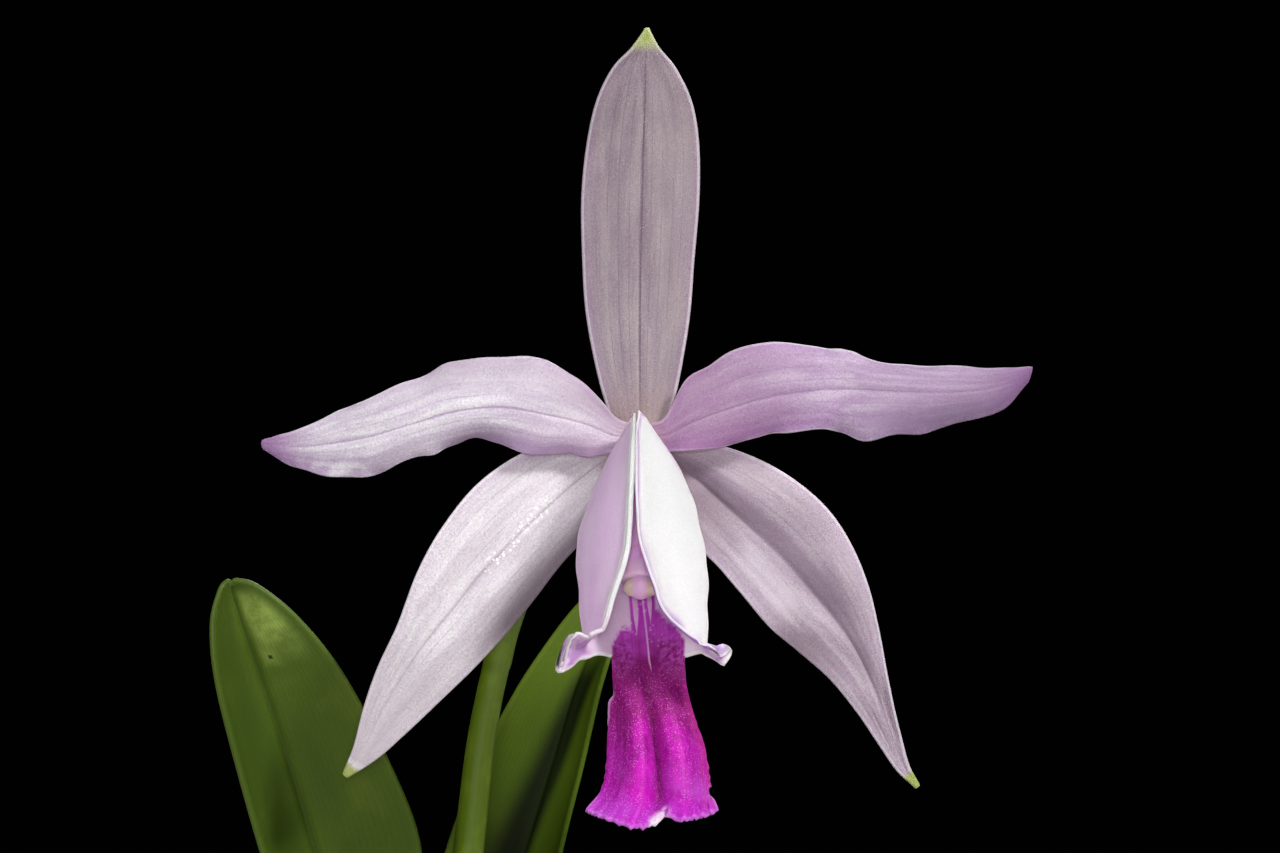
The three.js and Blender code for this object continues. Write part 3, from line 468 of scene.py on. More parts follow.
def flower_finish(name, veins, depth, tip_band, low=None, painted_shade=0):
    """Sepal or petal: a grainy ground with painted glints, long fine veins, a paler rim and its own tip and
    base.
    """
    ground, streak, edge, vein, tip, base = FLOWER_TONES[name]
    f = Finish(name, ground, 0.45, Subsurface_Weight=0.3, Subsurface_Scale=0.0014, Specular_IOR_Level=0.3)
    f.set("Subsurface Radius", (1, 0.8, 0.95))
    f.paint(streak, f.streaks(6, 4, 4).smooth(0.4, 0.62) * 0.65)
    f.paint(vein, f.streaks(4, 3, start=7).smooth(0.48, 0.66) * 0.25)
    # Deeper lilac towards the lower edge: partly its own tint, partly painted shade where the lower margin
    # turns back.
    if low:
        f.paint((160, 112, 168), (f.across * low[0]).smooth(-0.1, 0.95) * low[1], along=(0.7, 0.3))
    # Painted shade on one half of the blade, where it turns away from the light.
    if painted_shade:
        f.paint(vein, painted_shade, across=(0.1, 0.9), along=(0.8, 0.35))
    f.paint(edge, 0.6 - f.along * 0.5, edge=(1.6, 0.2))
    lines = (f.across + f.streaks(2.2, 3, 1) * 0.05).lines(veins, 46)
    strength = f.streaks(4, 6).smooth(0.3, 0.6) * depth
    f.paint(vein, lines * strength, off=(0.95, 0.7), along=(0.97, 0.82))
    f.paint(vein, f.streaks(5, 34).smooth(0.48, 0.62) * 0.1)
    f.paint(vein, min(1, 1.5 * depth), off=(0.03, 0.006), along=(0.98, 0.8))
    f.paint(base, 0.85, along=(0.14, 0))
    f.paint((240, 234, 242), 0.36, edge=(0.18, 0.04))
    f.paint(tip, 0.9, along=tip_band)
    grain = f.noise(3700, roughness=0.7)
    glints = f.cells(3900).smooth(0.34, 0.1) * f.noise(900).smooth(0.38, 0.6)
    f.shade(grain * 0.9 + 0.55)
    # Painted glints: white specks for light caught by crystal-like cells.
    f.paint((255, 250, 255), glints * 0.32)
    f.bump(grain + glints, 0.09, 0.7)
    return f


def dorsal_finish():
    """Dull upper sepal with painted shade on its left half, painted light on its right half, and a green
    point.
    """
    f = flower_finish("dorsal_sepal_skin", 5.2, 0.6, (0.86, 0.94))
    # Painted shade on the left half and painted light on the right half.
    f.paint((112, 96, 108), 0.22, across=(0.1, -0.6))
    f.paint((176, 162, 166), 0.28, across=(-0.05, 0.5))
    f.paint((146, 170, 52), 0.7, along=(0.92, 0.95), off=(0.7, 0.2))
    return f.done()


def left_sepal_finish():
    """Pale lower sepal with a trail of white crumbs, painted shade where it turns inwards, and a painted
    shadow of the lip on its inner edge near the base.
    """
    f = flower_finish("lateral_sepal_skin_left", 4.2, 0.3, (0.945, 0.97), painted_shade=0.4)
    crumbs = f.cells(1700).smooth(0.44, 0.2) * f.noise(500).smooth(0.42, 0.5)
    trail = abs(f.across + 0.13 - f.along * 0.4).smooth(0.16, 0.08)
    f.paint((255, 255, 255), crumbs * trail * 0.9, along=(0.18, 0.22, 0.36, 0.42))
    f.paint((184, 172, 180), 0.6, along=(0.5, 0.85, 0.93, 0.945))
    # Painted shadow of the lip on the inner edge, near the base.
    f.paint((96, 78, 90), 0.85, across=(0.45, 0.95), along=(0.12, 0.2, 0.44, 0.62))
    return f.done()


def right_sepal_finish():
    """Greyer lower sepal with soft patches of painted shade and painted light beside its rib, and a painted
    shadow of the lip near its base.
    """
    f = flower_finish("lateral_sepal_skin_right", 4.2, 0.42, (0.93, 0.95))
    # Painted shade along the rib fold.
    f.paint((126, 104, 124), abs(f.across - 0.16).smooth(0.34, 0.08) * 0.65, along=(0.85, 0.5))
    # Painted light on the upper half near the base.
    f.paint((232, 218, 226), 0.2, across=(0.35, 0.8), along=(0.6, 0.4))
    # Painted shadow of the lip on the inner half near the base.
    f.paint((126, 100, 112), 0.5, across=(0.4, -0.3), along=(0.3, 0.14))
    # Painted light on a band of the lower half.
    f.paint((226, 214, 226), abs(f.across + 0.5).smooth(0.4, 0.1) * 0.5, along=(0.24, 0.32, 0.4, 0.48))
    # Painted shade in a soft patch near the lower edge.
    f.paint((130, 108, 124), 0.55, across=(-0.3, -0.75), along=(0.44, 0.52, 0.58, 0.7))
    return f.done()


def petal_finish(name, side, low_tint_and_shade_share):
    """Lilac petal, deeper towards its outer end, and deeper towards its lower edge partly as painted shade
    where the margin turns back.
    """
    f = flower_finish(name, 3.6, 0.4, (0.78, 1.06), low=(-side, low_tint_and_shade_share))
    outer = (f.across * -side).smooth(0.1, 0.9) * f.noise(500).smooth(0.3, 0.6)
    f.paint((150, 110, 160), outer * 0.5, along=(0.55, 0.8))
    return f


def left_petal_finish():
    f = petal_finish("petal_skin_left", -1, 0.25)
    f.paint((178, 162, 178), 0.7, across=(-0.1, -0.85), along=(0.8, 0.5))
    # Painted shade where the lower margin folds back.
    f.paint((142, 108, 150), 0.6, across=(0.4, 0.85), along=(0.08, 0.14, 0.48, 0.62))
    f.paint((176, 146, 168), 0.35, along=(0.42, 0.12))
    f.paint((150, 104, 158), 0.5, along=(0.82, 1))
    return f.done()


def right_petal_finish():
    f = petal_finish("petal_skin_right", 1, 0.8)
    f.paint((136, 112, 140), 0.6, along=(0.4, 0.9))
    f.paint((112, 92, 120), 0.55, across=(-0.1, -0.9), along=(0.55, 0.75))
    f.paint((150, 98, 140), 0.5, along=(0.5, 0.2))
    f.paint((120, 78, 128), 0.5, along=(0.84, 1))
    return f.done()


# Pale lines in the throat: middle, half width, end along the lip and drift to the right.
THROAT_LINES = [(-0.143, 0.04, 0.93, 0), (0.095, 0.03, 0.88, 0), (-0.16, 0.008, 1.2, 0.21)]


def side_lobe_tones(f, inside):
    """Pale lilac side lobes: the right one painted near white as painted light, with painted shade in lilac
    on its top shoulder and along its margin, and blotched corners.
    """
    f.paint((226, 202, 230), f.streaks(3, 4, 3).smooth(0.35, 0.7) * 0.55)
    # Painted light: the right lobe near white where the key light falls on it.
    f.paint((254, 251, 254), 0.95, across=(0.5, 0.9))
    # Painted shade in lilac on the top shoulder of the right lobe.
    f.paint((206, 168, 206), 0.85, along=(0.3, 0.14), across=(0.6, 1, 1.9, 2.3))
    f.paint((246, 190, 240), inside * 0.8, along=(0.6, 0.3))
    f.paint((232, 202, 230), inside * 0.8, along=(0.3, 0.6))
    # Painted shade in lilac along the right lobe's rounded margin and where it curves away towards the ear.
    f.paint((190, 140, 206), 0.8, across=(2.4, 3), edge=(0.8, 0.25))
    f.paint((146, 88, 174), 0.9, across=(1.6, 2.2), along=(0.6, 0.8), edge=(2.1, 0.3))
    f.paint((255, 253, 255), edge=(1.1, 0.9), across=(-2, -2.3), along=(1, 0.93))
    f.paint((250, 244, 250), 0.8, edge=(0.22, 0.05))
    blotches = f.noise(420).smooth(0.36, 0.6) * 0.65
    f.paint((160, 104, 184), blotches, along=(1, 1.06), off=(0.7, 1.2), edge=(0.25, 0.7))


def magenta_part(f, inside):
    """Where the lip is magenta: stripes in the throat, and all of the middle lobe from a ragged start on."""
    ragged = f.along + (f.noise(900, 3, 0.6) - 0.5) * 0.1
    left = ragged - f.off.over(0.35) ** 1.5 * 0.6
    right = ragged - f.off.over(0.18) * 0.34 + 0.1
    start = left + (right - left) * f.across.smooth(-0.02, 0.02)
    throat = abs(f.across + 0.03).smooth(0.23, 0.19) * f.along.smooth(0.3, 0.6)
    part = throat.math("MAXIMUM", start.smooth(0.835, 0.875) * f.off.smooth(0.7, 0.63))
    for middle, half, end, drift in THROAT_LINES:
        line = abs(f.across - f.along * drift - middle) + f.along.smooth(end - 0.16, end) * (half + 0.02)
        part = part * (1 - line.smooth(half + 0.016, half - 0.006) * 0.75)
    speckles = f.cells(1500).smooth(0.4, 0.15) * f.noise(500).smooth(0.44, 0.56)
    part = part * (1 - speckles * f.along.smooth(0.98, 0.86) * 0.5)
    return part * inside.math("MAXIMUM", f.along.smooth(0.97, 1.06))


def magenta_tones(f, ridges):
    """Purple that deepens out of the throat, with a painted shadow of the side lobes partly over its start,
    dark ridges, painted highlights on the humps, painted soft highlights towards the end and a lilac end.
    """
    depth = f.along + f.noise(300) * 0.2 - 0.1
    hump_highlight = abs(abs(f.across - 0.02) - 0.2).smooth(0.17, 0.03) * f.along.smooth(1.22, 1.45)
    mottle = f.noise(1500, 4).smooth(0.36, 0.66) * f.along.smooth(1.2, 0.98) * f.off.smooth(0.12, 0.3)
    purple = (196, 70, 198)
    for tone, factor in (
        ((142, 14, 116), depth.smooth(0.86, 1)),
        # Brighter beyond here: the darker part before it is partly a painted shadow of the side lobes.
        ((176, 10, 166), depth.smooth(1.32, 1.6)),
        ((124, 4, 100), ridges * (f.off * 0.6 + 0.32)),
        # Painted soft highlights in lilac towards the end.
        ((186, 92, 208), f.along.smooth(1.5, 1.95) * f.noise(210, 3).smooth(0.42, 0.68) * 0.55),
        # Painted highlights on the humps beside the groove.
        ((204, 12, 186), hump_highlight * f.noise(400, 3).smooth(0.3, 0.6) * 0.6),
        ((206, 96, 212), mottle * 0.6),
        ((158, 34, 178), f.along.smooth(1.72, 1.96) * 0.45),
    ):
        purple = f.mix(factor, purple, tone)
    return purple


def lip_finish():
    """Pale lilac side lobes, and a magenta middle lobe that starts in the throat as stripes and blotches."""
    f = Finish("lip_skin", (222, 184, 225), 0.5, Subsurface_Weight=1, Subsurface_Scale=0.0016)
    f.set("Subsurface Radius", (1, 0.96, 1))
    f.set("Specular IOR Level", 0.16)
    inside = f.side.smooth(-0.2, 0.2)
    side_lobe_tones(f, inside)
    magenta = magenta_part(f, inside)
    ridges = f.streaks(2.2, 22, 3).smooth(0.36, 0.66)
    f.paint(magenta_tones(f, ridges), magenta)
    f.paint((206, 150, 214), 0.7, edge=(0.4, 0.1), along=(1.24, 1.3, 1.36, 1.46), across=(-0.5, -0.6))
    groove = f.across - f.along * 0.06 + 0.06 - (f.along * math.pi).math("SINE") * 0.06
    # Painted shade down the middle groove.
    f.paint((104, 4, 76), abs(groove).smooth(0.09, 0.01) * inside * 0.6, along=(1.1, 1.3, 1.75, 2))
    f.paint((196, 60, 120), ridges * 0.5, across=(0.4, 0.52), along=(1.15, 1.4))
    f.paint((186, 112, 206), 0.5, edge=(0.5, 0.1), along=(1.8, 1.97))
    white = abs(f.across - 0.045).smooth(0.11, 0.04) * f.noise(900).smooth(0.34, 0.54)
    f.paint((236, 220, 236), white * 0.9, along=(1.9, 1.98))
    dots = f.cells(3000).smooth(0.3, 0.12) * f.noise(500).smooth(0.34, 0.5) * f.along.smooth(1, 1.15)
    f.paint((246, 130, 236), dots * magenta * 0.75)
    fine = f.cells(5600).smooth(0.34, 0.1) * f.noise(700).smooth(0.32, 0.5) * f.along.smooth(1.1, 1.25)
    f.paint((246, 120, 232), fine * magenta * 0.7)
    f.grain(0.24, 0.03, 0.3, 4200, 1)
    f.bump(ridges * magenta + dots, 0.05, 0.4)
    return f.done()


def column_finish():
    """Pinkish column, paler towards its end; its pink is as bright as it goes, partly as painted light for
    light that comes through the lip.
    """
    f = Finish("column_skin", (255, 194, 255), 0.4, Subsurface_Weight=0.6, Subsurface_Scale=0.002)
    f.paint((226, 150, 208), f.noise(900).smooth(0.45, 0.7) * 0.4)
    f.paint((248, 216, 232), 0.7, along=(0.84, 0.95))
    f.bump(f.noise(3500), 0.03, 0.4)
    return f.done()


def anther_finish():
    """A cream cap with a pinkish tongue down its middle."""
    f = Finish("anther_skin", (228, 208, 190), 0.4, Subsurface_Weight=0.3, Subsurface_Scale=0.0006)
    f.paint((240, 226, 214), f.noise(1200).smooth(0.45, 0.7) * 0.4)
    f.paint((246, 196, 242), 0.9, off=(0.48, 0.3))
    f.bump(f.noise(3000), 0.03, 0.4)
    return f.done()


def light_patch_and_scar(f):
    """A pale mottled patch of painted light near a leaf's tip, with dark mottles above it, one small dark
    scar, and painted shade over one half.
    """
    mottled = f.noise(260, 4, 0.65).smooth(0.3, 0.62) * 0.65 + 0.35
    pale = abs(f.across - 0.5).smooth(0.5, 0.15) * mottled
    # Painted light: the pale patch where light falls on the bent top.
    f.paint((146, 166, 78), pale * 0.95, along=(0.64, 0.75, 0.8, 0.93))
    dark = f.cells(420).smooth(0.1, 0.5) * abs(f.across - 0.3).smooth(0.6, 0.3)
    f.paint((48, 68, 16), dark * 0.5, along=(0.84, 0.9, 0.93, 0.99))
    scar = abs((f.along - 0.666) * 90).math("MAXIMUM", abs((f.across - 0.3) * 13))
    f.paint((138, 158, 70), scar.smooth(2.4, 0.4) * 0.3)
    f.paint((24, 26, 10), scar.smooth(0.45, 0.3) * 0.9)
    # Painted shade over one half of the leaf.
    f.paint((50, 66, 20), 0.55, across=(0, -0.5))


def shaded_band(f):
    """Painted shade: a dark band that runs up across a leaf where its half turns from the light; the leaf is
    greener above its foot.
    """
    f.paint((88, 110, 20), 0.4, along=(0.2, 0.5))
    band = (f.across - f.along * 1.8 + 0.87).smooth(-0.62, -0.12, 0.2, 0.54)
    f.paint((14, 20, 5), band * 0.96, along=(0.76, 0.64))
    f.set("Roughness", 0.6)
    f.set("Specular IOR Level", 0.08)


def leaf_finish(name, age=0, painted_top_light=0.5, rib=0.5, marks=None):
    """Leathery leaf: long fine veins, a darker midrib, a paler margin, painted light on its upper part and a
    drier tone with age.
    """
    f = Finish(name, (70, 90, 20), 0.4, Subsurface_Weight=0.06, Subsurface_Scale=0.001)
    f.set("Specular IOR Level", 0.22)
    f.paint((58, 80, 18), f.streaks(2.4, 2).smooth(0.35, 0.7) * 0.6)
    # Painted light: the upper part paler where light falls on it.
    f.paint((86, 106, 36), painted_top_light, along=(0.55, 0.9))
    f.paint((110, 120, 44), f.noise(120, 3).smooth(0.5, 0.75) * (0.2 + 0.3 * age))
    if marks:
        marks(f)
    veins = (f.across + f.streaks(3, 2) * 0.02).lines(17, 3)
    f.paint((44, 64, 18), veins * 0.14)
    f.paint((38, 56, 14), rib, off=(0.07, 0.02))
    f.paint((90, 116, 32), 0.5, side=(0.2, -0.4))
    f.paint((100, 120, 40), 0.14, edge=(0.6, 0.1))
    f.paint((140, 152, 82), 0.6, along=(0.12, 0))
    f.paint((46, 44, 22), f.cells(140).smooth(0.06, 0.03) * f.noise(60).smooth(0.5, 0.62) * 0.8)
    if age > 0.5:
        f.paint((122, 92, 50), f.noise(300).smooth(0.3, 0.6), along=(0.93, 1))
    f.grain(0.24, 0.05, 0.4, 2600)
    f.bump(veins, 0.03, 0.3)
    return f.done()


def stem_finish(name, ground, shadow, light):
    """Green stem with long fine streaks."""
    f = Finish(name, ground, 0.4, Subsurface_Weight=0.08, Subsurface_Scale=0.001)
    streaks = f.streaks(6, 16, 3)
    f.paint(shadow, streaks.smooth(0.35, 0.7) * 0.6)
    f.paint(light, f.noise(260).smooth(0.45, 0.75) * 0.5)
    f.paint((190, 176, 150), 0.45, along=(0.86, 1))
    grain = f.noise(2400)
    f.shade(grain * 0.2 + 0.9)
    f.bump(streaks + grain * 0.4, 0.08, 0.4)
    return f.done()


def bulb_finish(age):
    """Pseudobulb: green and ribbed, pale at its joints, browner with age."""
    f = Finish("bulb_skin_%d" % round(10 * age), (134, 148, 72), 0.42, Specular_IOR_Level=0.45)
    f.paint((104, 124, 50), f.streaks(4, 18, 3).smooth(0.35, 0.7) * 0.7)
    f.paint((150, 132, 70), f.noise(90, 4).smooth(0.45, 0.75) * (0.2 + 0.6 * age))
    f.paint((176, 166, 110), f.along.lines(BULB.joints, 60) * 0.7)
    f.paint((122, 100, 66), 0.7, along=(0.08, 0))
    f.grain(0.24, 0.06, 0.4, 1800)
    return f.done()


def sheath_finish(name, ground, streak, stain):
    """Dry papery sheath: long fibres and stains."""
    f = Finish(name, ground, 0.62, Specular_IOR_Level=0.3)
    fibres = f.streaks(5, 60, 4, 0.6)
    f.paint(streak, fibres.smooth(0.4, 0.62) * 0.8)
    f.paint(stain, f.noise(220, 4).smooth(0.5, 0.72) * 0.75)
    f.paint(stain, 0.5, edge=(1, 0.1))
    f.shade(f.noise(2600) * 0.24 + 0.88)
    f.bump(fibres, 0.12, 0.6)
    return f.done()


def root_finish():
    """Silvery root with worn brown stretches and a green growing tip."""
    f = Finish("root_skin", (196, 190, 168), 0.7, Specular_IOR_Level=0.25)
    f.paint((150, 132, 96), f.noise(160, 4).smooth(0.5, 0.7) * 0.8)
    f.paint((110, 116, 66), f.noise(520, 3).smooth(0.55, 0.7) * 0.5)
    f.paint((128, 150, 62), along=(0.9, 0.95))
    f.shade(f.noise(2200) * 0.3 + 0.85)
    f.bump(f.noise(1800, 3), 0.12, 0.6)
    return f.done()


def rhizome_finish():
    """Creeping stem with brown rings and dark scales."""
    f = Finish("rhizome_skin", (128, 120, 66), 0.6, Specular_IOR_Level=0.3)
    f.paint((140, 108, 66), f.streaks(60, 6, 3).smooth(0.4, 0.65) * 0.8)
    f.paint((84, 66, 42), f.noise(300, 4).smooth(0.5, 0.7) * 0.7)
    f.shade(f.noise(2000) * 0.3 + 0.85)
    f.bump(f.noise(1400, 4), 0.2, 0.7)
    return f.done()


def bark_finish():
    """Fir bark: each chip has its own tone, with corky layers, pale dust and dark clefts."""
    f = Finish("bark_chips", (104, 68, 46), 0.85, Specular_IOR_Level=0.2)
    f.paint((140, 96, 66), along=(0, 1))
    f.paint((66, 44, 34), 0.6, across=(0.6, 1))
    layers = f.noise(1, 4, vector=f.vector(f.side * 30, f.noise(220) * 3))
    f.paint((72, 46, 32), layers.smooth(0.42, 0.62) * 0.6)
    f.paint((166, 130, 96), f.noise(520, 5, 0.7).smooth(0.52, 0.7) * 0.7)
    f.paint((88, 96, 52), f.noise(180, 4).smooth(0.6, 0.74) * 0.6)
    f.grain(0.7, 0.5, 0.8, 1100, 5, 0.7)
    f.bump(layers, 0.4, 0.6)
    return f.done()


def clay_finish():
    """Fired clay with turning lines, pale lime bloom and a little green at its foot."""
    f = Finish("terracotta", (190, 112, 76), 0.82, Specular_IOR_Level=0.25)
    height = f.parts(f.where)[2]
    f.paint((170, 92, 60), f.noise(24, 5, 0.6).smooth(0.35, 0.7) * 0.7)
    f.paint((206, 136, 98), f.noise(140, 4).smooth(0.5, 0.75) * 0.45)
    cloud = f.noise(34, 6, 0.65)
    bloom = (height.smooth(0.05, 0) * 0.25 + height.smooth(0.07, 0.1) * 0.25 + cloud).smooth(0.62, 0.86)
    f.paint((226, 208, 188), bloom * 0.65)
    moss = (cloud + height.smooth(0.045, 0) * 0.16).smooth(0.6, 0.72) * height.smooth(0.07, 0.02)
    f.paint((118, 116, 72), moss * 0.55)
    f.paint((120, 66, 44), f.cells(900).smooth(0.13, 0.05) * 0.6)
    f.grain(0.3, 0.16, 0.6, 1500, 4, 0.7)
    f.bump(f.noise(1, 3, vector=f.vector(height * 900, cloud * 0.6)), 0.3, 0.35)
    return f.done()


# Blades: sepals, petals and leaves

def blade_surface(rows, crease=2, ruffle=None):
    """Where a blade lies: u runs from its base to its tip, v from one edge over the midrib to the other."""
    rows = np.asarray(rows, float)
    first, middle, last = (spline(rows[:, k]) for k in range(3))

    def flat(u, v):
        f, m, l = first(u), middle(u), last(u)
        return m + (l - f) * (v / 2)[..., None] + ((l + f) / 2 - m) * (np.abs(v) ** crease)[..., None]

    if ruffle is None:
        return flat
    step = 0.01

    def waved(u, v):
        along = flat(np.minimum(1, u + step), v) - flat(np.maximum(0, u - step), v)
        across = flat(u, v + step) - flat(u, v - step)
        phase = ruffle.phase + np.where(v < 0, 0, ruffle.shift)
        wave = np.sin(TURN * ruffle.waves * u + phase)
        crimp = 0.22 * np.sin(TURN * 3.1 * ruffle.waves * u + 1.3 * phase) * np.abs(v) ** 6
        size = ruffle.height * (wave + crimp) * np.abs(v) ** 3 * np.sin(math.pi * u)
        return flat(u, v) + unit(np.cross(across, along)) * size[..., None]

    return waved


def blade(
    rows, thick, crease=2, ruffle=None, steps=130, across=72, flip=False,
    groove=(0.1, 0.3), keel=0.15, veins=(0, 0), channel=(0, 1), wavy=0, swell=0,
):
    """A blade as a solid: thick = [at its edges, along its midrib], with a groove in front and a keel behind.

    It is folded along its midrib into a channel of a depth and width, and its outline may be wavy. Its sides
    swell and sink softly.
    """
    surface = blade_surface(rows, crease, ruffle)
    edge, middle = thick
    u, v = np.linspace(0, 1, steps + 1), np.linspace(-1, 1, across + 1)
    if flip:
        v = -v
    length = np.linalg.norm(np.diff(surface(u, 0 * u), axis=0), axis=1).sum()
    half = np.linalg.norm(surface(u, 0 * u + 1) - surface(u, 0 * u - 1), axis=1) / 2
    along, wide = np.meshgrid(u * (1 - edge / 2 / length), v, indexing="ij")
    inset = 1 - np.minimum(0.5, edge / 2 / np.maximum(half, 0.1))
    half_side = np.sign(wide)
    wave = np.sin(31 * along + 3 * half_side) + 0.8 * np.sin(53 * along - 2 * half_side) * np.sin(7 * along)
    wave = wave * smooth(0.1, 0.25, along) * smooth(1, 0.9, along) / np.maximum(half, 3)[:, None]
    points = surface(along, wide * (inset[:, None] * (1 + wavy * wave)))
    thickness = lerp(lerp(middle, edge, wide**2), edge, smooth(0.6, 1, along))
    from_rib = np.abs(wide) * half[:, None]
    rib = peak(from_rib, groove[1]) * smooth(0.98, 0.8, along)
    ridge = veins[1] * np.cos(TURN * veins[0] * wide) * smooth(1, 0.8, np.abs(wide)) * smooth(1, 0.8, along)
    fold = channel[0] * np.exp(-from_rib / channel[1]) * smooth(0, 0.15, along) * smooth(0.98, 0.7, along)
    rolling = np.sin(17 * along + 2.5 * wide + length) * np.cos(2.8 * wide - 4 * along)
    rolling = rolling + 0.5 * np.sin(29 * along - 5 * wide)
    fold = fold + swell * rolling * smooth(0, 0.2, along) * smooth(0.98, 0.7, along)
    front = thickness / 2 - groove[0] * rib - ridge - fold
    back = thickness / 2 + keel * peak(from_rib, 2 * groove[1]) * smooth(0.98, 0.7, along) + fold
    place = np.stack([along, wide], -1).reshape(-1, 2)
    return thicken(points.reshape(-1, 3), grid(steps, across), front.ravel(), back.ravel(), place)


# Rows of a blade from its base to its tip: first edge, midrib and last edge, from the flower's middle.
DORSAL_SEPAL = [
    [[-3.6, 1.1, -0.6], [0, 1.4, -0.9], [3.6, 1.1, -0.6]],
    [[-6, 2.4, 7.4], [0, 3.8, 7.4], [5.7, 2.4, 7.4]],
    [[-7.7, 4.2, 16], [0, 5.6, 16], [7.1, 4.2, 16]],
    [[-8.3, 5.2, 24], [0.1, 6.4, 24], [7.8, 5.2, 24]],
    [[-8.5, 5.4, 33], [0.3, 6.6, 33], [8.5, 5.4, 33]],
    [[-7.7, 5, 41], [0.5, 6, 41], [8.5, 5, 41]],
    [[-6.4, 4.2, 47], [0.7, 5, 47], [7.5, 4.2, 47]],
    [[-4.1, 3.4, 51.6], [0.8, 3.9, 51.8], [5.3, 3.4, 51.6]],
    [[-1.5, 2.8, 54.4], [0.9, 3.1, 54.6], [2.9, 2.8, 54.4]],
    [[0.65, 2.2, 57.2], [1, 2.2, 57.35], [1.35, 2.2, 57.2]],
]
LATERAL_SEPAL_LEFT = [
    [[-3.9, 2.4, -1.6], [-3, 2.9, -3], [-1.4, 2.4, -3.9]],
    [[-8.6, 2, -1.6], [-6.8, 2.7, -5.6], [-3.8, 1.8, -8.6]],
    [[-15.6, 1, -2.7], [-12, 1.7, -9.9], [-7.2, 0.7, -14.4]],
    [[-22.6, 0, -7.1], [-17.6, 0.9, -15.2], [-11.2, -0.2, -19]],
    [[-27.9, -0.7, -13.5], [-22.6, 0.2, -20.5], [-15.2, -0.4, -24.3]],
    [[-31.4, -0.7, -19.8], [-27, 0.2, -26], [-19.2, 0, -29.2]],
    [[-34.3, -0.1, -27.6], [-31.1, 0.5, -31], [-23.8, 0.6, -34.3]],
    [[-37.2, 0.9, -33.8], [-34.3, 1.4, -35.9], [-28.9, 1.6, -39.3]],
    [[-39.3, 1.9, -39.8], [-37.3, 2.4, -41], [-33.6, 2.6, -43.8]],
    [[-40.8, 3.1, -45.2], [-39.8, 3.5, -46], [-37.6, 3.6, -47.3]],
    [[-42.6, 4.8, -49.2], [-42.4, 4.9, -49.7], [-41.8, 4.9, -49.9]],
]
LATERAL_SEPAL_RIGHT = [
    [[0.5, 2.7, -2.6], [1.7, 3.2, -1.8], [2.7, 2.7, -0.9]],
    [[3.8, 1.8, -9], [6.8, 2.7, -5.9], [8.2, 2, -1.5]],
    [[7.2, 0.7, -15.4], [11.6, 1.7, -10.2], [14.4, 1, -3.1]],
    [[11.4, -0.2, -19.6], [16.3, 0.7, -14.3], [20.8, 0.2, -6.2]],
    [[14.4, -0.4, -23.2], [21, 0.2, -18.8], [26.2, -0.3, -10.6]],
    [[18.2, 0, -27.8], [25.2, 0.2, -23.8], [29.8, -0.4, -15.8]],
    [[22.4, 0.6, -31.5], [28.8, 0.4, -28.2], [32.4, 0, -22]],
    [[27, 1.4, -35.6], [31.6, 1.2, -32.8], [34.1, 0.8, -28.8]],
    [[30.8, 2.4, -40.4], [34, 2.2, -38], [35.4, 1.9, -36]],
    [[34.2, 3.5, -45.4], [36.1, 3.4, -43.8], [36.8, 3.1, -42.6]],
    [[36.8, 4.5, -49], [37.8, 4.6, -48.3], [38.3, 4.3, -47.6]],
    [[39.6, 5.4, -51.5], [39.9, 5.4, -51.3], [40.3, 5.4, -51]],
]
PETAL_LEFT = [
    [[-1.4, 0.3, 1], [-1.6, 0.8, -0.9], [-1.5, 0.3, -2.4]],
    [[-3.5, -0.4, 1.9], [-3.9, 0, -0.8], [-3.7, -0.4, -3.2]],
    [[-6.9, -1.2, 5.6], [-8, -1.4, 0.9], [-8.2, -0.8, -3.8]],
    [[-11.6, -2.6, 9.4], [-13.4, -3.2, 2.2], [-14, -1.6, -3.3]],
    [[-18.6, -3.6, 10.3], [-19.6, -4.8, 3.2], [-20.2, -2.2, -1.8]],
    [[-25.6, -4.2, 10.1], [-26, -5.8, 2.6], [-25.4, -2.2, -1.9]],
    [[-31.6, -4.2, 7.5], [-32, -5.8, 0.9], [-30.3, -3, -2.9]],
    [[-38.6, -3.6, 4.3], [-38, -4.8, -0.9], [-36, -3.4, -6.2]],
    [[-44.6, -2.2, 1.9], [-44.2, -2.9, -2], [-43, -2.2, -6.6]],
    [[-49.8, -0.4, -0.4], [-49.5, -0.8, -2.4], [-49, -0.4, -5.5]],
    [[-53.7, 1.4, -1.4], [-54, 1.4, -2], [-53.6, 1.4, -2.8]],
]
PETAL_RIGHT = [
    [[1.5, 0.3, -2.4], [1.6, 0.8, -0.9], [1.4, 0.3, 1]],
    [[3.7, -0.4, -3.1], [3.9, 0, -0.7], [3.7, -0.4, 2]],
    [[8.6, -1, -2.7], [7.6, -1.5, 1.2], [6.5, -1.2, 7.1]],
    [[13.8, -2, -2.2], [12.9, -3.2, 3.2], [11.2, -2.6, 10.4]],
    [[19.4, -2.8, -0.1], [18.9, -4.8, 4.9], [18, -3.9, 12.2]],
    [[25.2, -4.1, 0.1], [25.2, -5.6, 5.7], [24.4, -4.3, 12.3]],
    [[28.5, -4.2, -0.6], [28.2, -5.5, 5.8], [27.6, -4.2, 11.2]],
    [[31.6, -4.3, -1.7], [31.4, -5.4, 5.7], [30.9, -4.1, 10.4]],
    [[37.4, -3.5, -0.5], [38, -4.6, 5.4], [37.8, -3.5, 9.3]],
    [[44.2, -2.1, 0.4], [45, -3.2, 5.4], [44.8, -2.3, 9]],
    [[50.8, -0.4, 2.4], [51, -1.2, 6.2], [51, -0.7, 8.7]],
    [[55.3, 1.1, 6.8], [55.8, 1.1, 8.2], [56, 1.1, 9]],
]
SEPAL_THICK = [0.5, 1.1]
PETAL_THICK = [0.45, 0.95]
